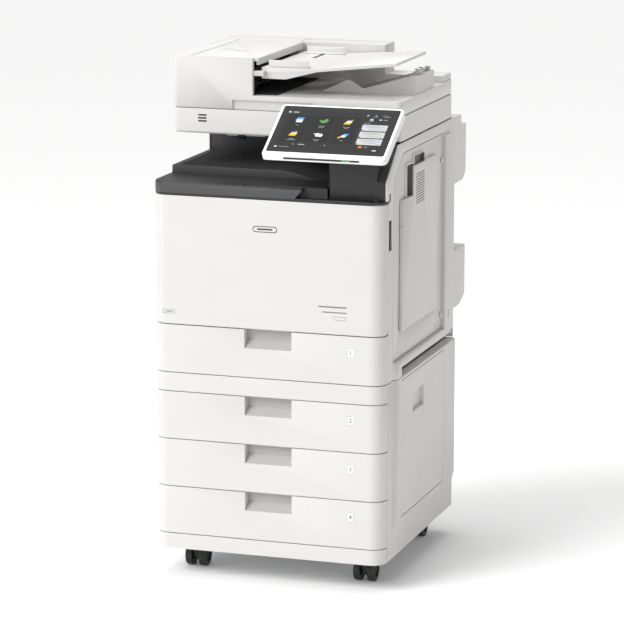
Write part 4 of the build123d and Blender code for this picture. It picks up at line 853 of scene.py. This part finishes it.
class COPIER_OT_feeder(bpy.types.Operator):
    """Make the feeder's dark throat, rollers, ribs and the signs moulded into its top"""

    bl_idname = "copier.feeder"
    bl_label = "Document feeder"

    def execute(self, context):
        body = "document_feeder"
        looks = finishes()
        deck = foot_of("feeder_body") + 31
        top = top_of("feeder_body")
        black = looks["black_plastic"]
        solid("feeder_throat", body, black,
              [((148.3, 149.3), (134, 432), (deck + 0.4, deck + 29)),
               ((149, 186), (134, 432), (deck + 0.2, deck + 1.4)),
               ((186, 232), (142, 430), (deck + 0.2, deck + 1.0)),
               ((50, 146), (134, 428), (deck + 30.2, deck + 31.6))])

        def rib(work):
            outline = [(150, deck + 0.5), (228, deck + 0.5), (222, deck + 2.4), (152, deck + 3.4)]
            prism(work, outline, front_plane(146), 0, 1.4)

        in_a_row("feeder_exit_ribs", body, black, rib, 15, (0, 19.6, 0))

        def path_rib(work):
            outline = [(56, deck + 31), (143, deck + 31), (143, deck + 35), (60, deck + 35)]
            prism(work, outline, front_plane(142), 0, 1.6)

        in_a_row("feeder_path_ribs", body, black, path_rib, 18, (0, 16.4, 0))

        def roller(work):
            profile = ((0, 0), (0, 6.6), (0.8, 7.4), (21.2, 7.4), (22, 6.6), (22, 0))
            turned(work, profile, at(156, 196, deck + 11), DEEP)

        rubber = looks["roller_rubber"]
        in_a_row("feeder_exit_rollers", body, rubber, roller, 3, (0, 78, 0))
        solid("feeder_exit_shaft", body, looks["steel"],
              [((154.5, 157.5), (133, 432), (deck + 9.5, deck + 12.5))])
        faint = moulded("moulded_sign", (0.40, 0.395, 0.385), 0.5, relief=0.02)
        cover_top = top_plane(top - SIGN_SINK)
        sheet = rounded(26, 34, 2, (84, 250))
        signs = [(sheet, 0.9), bar(76, 262, 92, 263), bar(76, 257, 92, 258), bar(76, 252, 88, 253),
                 (rounded(22, 30, 2, (124, 236)), 0.9), bar(118, 245, 131, 246), bar(118, 240, 131, 241),
                 [(101, 243), (108, 243), (108, 239), (113, 245), (108, 251), (108, 247), (101, 247)],
                 (rounded(18, 12, 2, (104, 300)), 0.8), bar(150, 176, 168, 177), bar(150, 180, 168, 181)]
        marks("feeder_signs", "feeder_cover", faint, cover_top, signs, -0.2, 0.12)
        cover = bpy.data.objects["feeder_cover_fine"]
        for vertex in cover.data.vertices:
            if vertex.co.z > (top - 0.02) * MM:
                vertex.co.z -= SIGN_SINK * MM
        stop_top = top_of("output_stopper")
        solid("stopper_grip", "output_stopper", shade_grey(),
              [((487, 493), (y, y + 10), (stop_top - 0.6, stop_top + 0.5)) for y in (296, 326)])
        marks("deck_sign", body, faint, top_plane(deck),
              [bar(402, 150, 420, 151), bar(402, 155, 414, 156), [(424, 150), (431, 153.5), (424, 157)]],
              -0.05, 0.1)
        return {"FINISHED"}


class COPIER_OT_output(bpy.types.Operator):
    """Make the output tray's ribs, the exit rollers and the slot they stand in"""

    bl_idname = "copier.output"
    bl_label = "Output space"

    def execute(self, context):
        looks = finishes()
        tray = frame["nodes"]["output_tray"].data
        low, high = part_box("output_tray")
        count = context.scene.copier_sizes.ribs
        margin = 9.0
        surface = sorted({(round(v.co.x / MM, 3), round(v.co.z / MM, 3)) for v in tray.vertices
                          if abs(v.co.y - low.y) < 1e-5 and v.co.z > high.z - 0.027})
        start = corner.x / MM + 2 * margin
        profile = [(start, high.z / MM)] + [p for p in surface if start < p[0] < high.x / MM - 1]
        span = (high.y - low.y) / MM - 2 * margin

        def rib(work):
            plane = (Vector((0, low.y + margin * MM, 0)), ACROSS, UP, -DEEP)
            outline = [(x, z + 0.9) for x, z in profile] + [(x, z - 0.4) for x, z in reversed(profile)]
            prism(work, outline, plane, 0, 1.1)

        in_a_row("output_tray_ribs", "copier_body", looks["black_plastic"], rib, count,
                 (0, span / (count - 1), 0))
        shelf = top_of("output_tray")
        back = 354.6
        level = shelf + 34
        solid("output_slot", "copier_body", looks["dark_unit"],
              [((40, 372), (back - 0.8, back + 0.4), (level - 8, level + 12))])

        def roller(work):
            turned(work, ((0, 0), (0, 7), (0.8, 7.8), (15.2, 7.8), (16, 7), (16, 0)),
                   at(70, back - 1.5, level), ACROSS)

        in_a_row("output_rollers", "copier_body", looks["roller_rubber"], roller, 5, (64, 0, 0))
        solid("output_roller_shaft", "copier_body", looks["steel"],
              [((44, 368), (back - 3.4, back - 0.4), (level - 1.5, level + 1.5))])
        return {"FINISHED"}


class COPIER_OT_sides(bpy.types.Operator):
    """Make the small parts of the sides: dark sheets of painted shade in the grip recesses and behind the
    vents, screws and parting lines
    """

    bl_idname = "copier.sides"
    bl_label = "Side and back details"

    def execute(self, context):
        grey = shade_grey()
        # Near black: painted shade on the sheets behind the vent openings, and the dark vent marks on the
        # strip's side.
        dark = moulded("vent_black_and_painted_shade", (0.012, 0.012, 0.012), 0.7, relief=0.05)
        line = moulded("parting_line", (0.10, 0.098, 0.096), 0.6, relief=0.02)
        low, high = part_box("bypass_tray")
        edge = (high.x - corner.x) / MM
        top, foot = high.z / MM, low.z / MM
        face = side_plane(edge)
        front = 109.0
        # Dark sheet behind the bypass tray's vent, so its openings show dark: painted shade.
        solid("bypass_vent_painted_shade", "bypass_tray", dark,
              [((edge - 7.35, edge - 7.05), (front + 95, front + 163), (top - 86, top - 16))])
        # Dark grey sheets on the floors and walls of the door's two grip recesses: painted shade where the
        # recesses fall in shadow.
        solid("door_grip_painted_shade", "right_door", grey,
              [((edge - 15.9, edge - 15.4), (front + 40.4, front + 73.6), (top - 61.6, top + 6.6)),
               ((edge - 8.9, edge - 8.4), (front + 94.4, front + 159.6), (top - 1.6, top + 18.6)),
               ((edge - 15.4, edge - 0.8), (front + 73.0, front + 73.7), (top - 61.6, top + 6.6)),
               ((edge - 8.4, edge - 0.8), (front + 159.0, front + 159.7), (top - 1.6, top + 18.6)),
               ((edge - 8.4, edge - 0.8), (front + 94.4, front + 159.7), (top + 18.0, top + 18.7))])
        door_foot = foot_of("right_door")
        screws("door_screws", "right_door", [(edge - 0.2, y, door_foot + 9.5) for y in (100, 378)],
               "right", 2.6, 1.0)
        marks("door_lines", "right_door", line, face,
              [bar(79, door_foot + 281, 109, door_foot + 281.9),
               bar(359, door_foot + 14, 359.8, door_foot + 25)], -0.1, 0.08)
        marks("strip_vents", "copier_body", dark, face,
              [bar(461, z, 466, z + 2.6, 1.2) for z in (506, 513, 520)], -0.1, 0.1)
        rear_edge = (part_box("rear_cover")[1].y - corner.y) / MM
        # Dark sheets behind the rear cover's vents, so their openings show dark: painted shade.
        solid("rear_vent_painted_shade", "copier_body", dark,
              [((56, 184), (rear_edge - 4.2, rear_edge - 3.2), (693, 792)),
               ((56, 164), (rear_edge - 4.2, rear_edge - 3.2), (117, 179))])
        scanner = foot_of("scanner_housing")
        screws("scanner_screws", "copier_body",
               [(body_width + 0.1, 168, scanner + 26), (body_width + 0.1, 440, scanner + 34)],
               "right", 3.0, 0.8, 8)
        spots = [(x, rear_edge + 116 - 0.9, z) for x in (482, 322) for z in (800, 890, 530, 624)]
        screws("rear_box_screws", "copier_body", spots, "rear", 3.0, 0.8, 5)
        return {"FINISHED"}


class COPIER_OT_insides(bpy.types.Operator):
    """Make the toner bottles' caps and the caster wheels' hubs"""

    bl_idname = "copier.insides"
    bl_label = "Insides and casters"

    def execute(self, context):
        looks = finishes()
        low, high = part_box("toner_bottles")
        middle = (low.z + high.z) / 2
        spots = [(low.x - corner.x) / MM + 26 + 96 * n for n in range(4)]
        tints = {"yellow": (0.82, 0.60, 0.03), "magenta": (0.55, 0.03, 0.20), "cyan": (0.02, 0.30, 0.60),
                 "black": (0.02, 0.02, 0.02)}
        for (name, tint), x in zip(tints.items(), spots):
            look = moulded("toner_" + name, tint, 0.35, relief=0.05)
            centre = Vector((at(x, 0, 0).x, low.y, middle))

            def cap(work):
                turned(work, ((0.5, 0), (0.5, 21), (-1.4, 21), (-2.2, 20), (-2.2, 13), (-1.2, 12), (-1.2, 0)),
                       centre, DEEP)
                prism(work, rounded(22, 4, 1.5), (centre, ACROSS, UP, -DEEP), 1.0, 2.6)

            shaped("toner_cap_" + name, cap, look, "copier_body")
        tread = moulded("wheel_tread", (0.035, 0.034, 0.034), 0.6, relief=0.25, tone=0.3)
        for place in ("front_left", "front_right", "rear_left", "rear_right"):
            low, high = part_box("caster_wheels_" + place)
            centre = (low + high) / 2
            reach = (high.x - low.x) / 2 / MM

            def hub(work):
                profile = [(reach - along, radius) for along, radius in (
                    (3.2, 0), (3.2, 12.5), (2.2, 12.5), (1.6, 11), (1.6, 5), (0.8, 4.2), (0.8, 0))]
                for way in (-1, 1):
                    turned(work, profile, centre, (way, 0, 0), 32)

            shaped("wheel_hubs_" + place, hub, tread, "wheels_" + place)
        return {"FINISHED"}


class COPIER_OT_stage(bpy.types.Operator):
    """Make the floor, the lights and the camera"""

    bl_idname = "copier.stage"
    bl_label = "Stage"

    def execute(self, context):
        stage = context.scene.copier_stage
        look, nodes, links, shader = new_material("stage_paper")
        shader.inputs["Base Color"].default_value = (*stage.floor, 1)
        shader.inputs["Roughness"].default_value = 0.9
        shader.inputs["Emission Color"].default_value = (1, 1, 1, 1)
        shader.inputs["Emission Strength"].default_value = 0.07
        place = nodes.new("ShaderNodeTexCoord")
        bump = nodes.new("ShaderNodeBump")
        bump.inputs["Strength"].default_value = 0.02
        links.new(noise_node(look.node_tree, place.outputs["Object"], 3), bump.inputs["Height"])
        links.new(bump.outputs[0], shader.inputs["Normal"])

        def sheet_of_floor(work):
            bmesh.ops.create_circle(work, cap_ends=True, radius=30, segments=96)

        floor = link("floor", mesh_from("floor", sheet_of_floor), look)
        for face in floor.data.polygons:
            if face.normal.z < 0:
                floor.data.flip_normals()
                break
        world = bpy.data.worlds.new("studio")
        context.scene.world = world
        world.use_nodes = True
        world.node_tree.nodes["Background"].inputs[0].default_value = (1, 1, 1, 1)
        world.node_tree.nodes["Background"].inputs[1].default_value = 0.46
        sun = bpy.data.lights.new("soft_key", "SUN")
        sun.energy = 2.2
        sun.angle = math.radians(34)
        key = placed("soft_key", sun)
        key.rotation_euler = Vector((-0.50, -0.62, 0.66)).to_track_quat("Z", "Y").to_euler()
        for name, place_at, aim, size, power in (
            ("front_fill", (-1.8, -4.2, 2.2), (0, 0, 0.8), 3.0, 30),
            ("top_fill", (-0.3, 0.6, 3.6), (0, 0, 0.9), 2.4, 52),
        ):
            lamp = bpy.data.lights.new(name, "AREA")
            lamp.size = size
            lamp.energy = power
            holder = placed(name, lamp)
            holder.location = place_at
            holder.rotation_euler = (Vector(aim) - Vector(place_at)).to_track_quat("-Z", "Y").to_euler()
        lens = bpy.data.cameras.new("camera")
        lens.lens = stage.lens
        lens.sensor_width = 36
        lens.clip_end = 100
        camera = placed("camera", lens)
        camera.location = stage.camera_place
        camera.rotation_euler = (math.pi / 2 - stage.camera_pitch, 0, stage.camera_yaw)
        context.scene.camera = camera
        context.scene.view_settings.view_transform = "Standard"
        return {"FINISHED"}


class COPIER_PT_sidebar(bpy.types.Panel):
    """Lists the copier's finishes, sizes and makers"""

    bl_idname = "COPIER_PT_sidebar"
    bl_label = "Copier"
    bl_space_type = "VIEW_3D"
    bl_region_type = "UI"
    bl_category = "Copier"

    def draw(self, context):
        for settings in (context.scene.copier_finish, context.scene.copier_sizes, context.scene.copier_stage):
            for prop in settings.bl_rna.properties:
                if prop.identifier not in ("name", "rna_type"):
                    self.layout.prop(settings, prop.identifier)
        for operator in OPERATORS:
            self.layout.operator(operator.bl_idname)


OPERATORS = (COPIER_OT_covers, COPIER_OT_panel, COPIER_OT_markings, COPIER_OT_feeder, COPIER_OT_output,
             COPIER_OT_sides, COPIER_OT_insides, COPIER_OT_stage)
CLASSES = (CopierFinish, CopierSizes, CopierStage) + OPERATORS + (COPIER_PT_sidebar,)
SETTINGS = {"copier_finish": CopierFinish, "copier_sizes": CopierSizes, "copier_stage": CopierStage}


def register():
    for made in CLASSES:
        bpy.utils.register_class(made)
    for name, made in SETTINGS.items():
        setattr(bpy.types.Scene, name, PointerProperty(type=made))


def unregister():
    for name in SETTINGS:
        delattr(bpy.types.Scene, name)
    for made in reversed(CLASSES):
        bpy.utils.unregister_class(made)


def main():
    register()
    for operator in OPERATORS:
        area, name = operator.bl_idname.split(".")
        getattr(getattr(bpy.ops, area), name)()


if __name__ == "__main__":
    main()
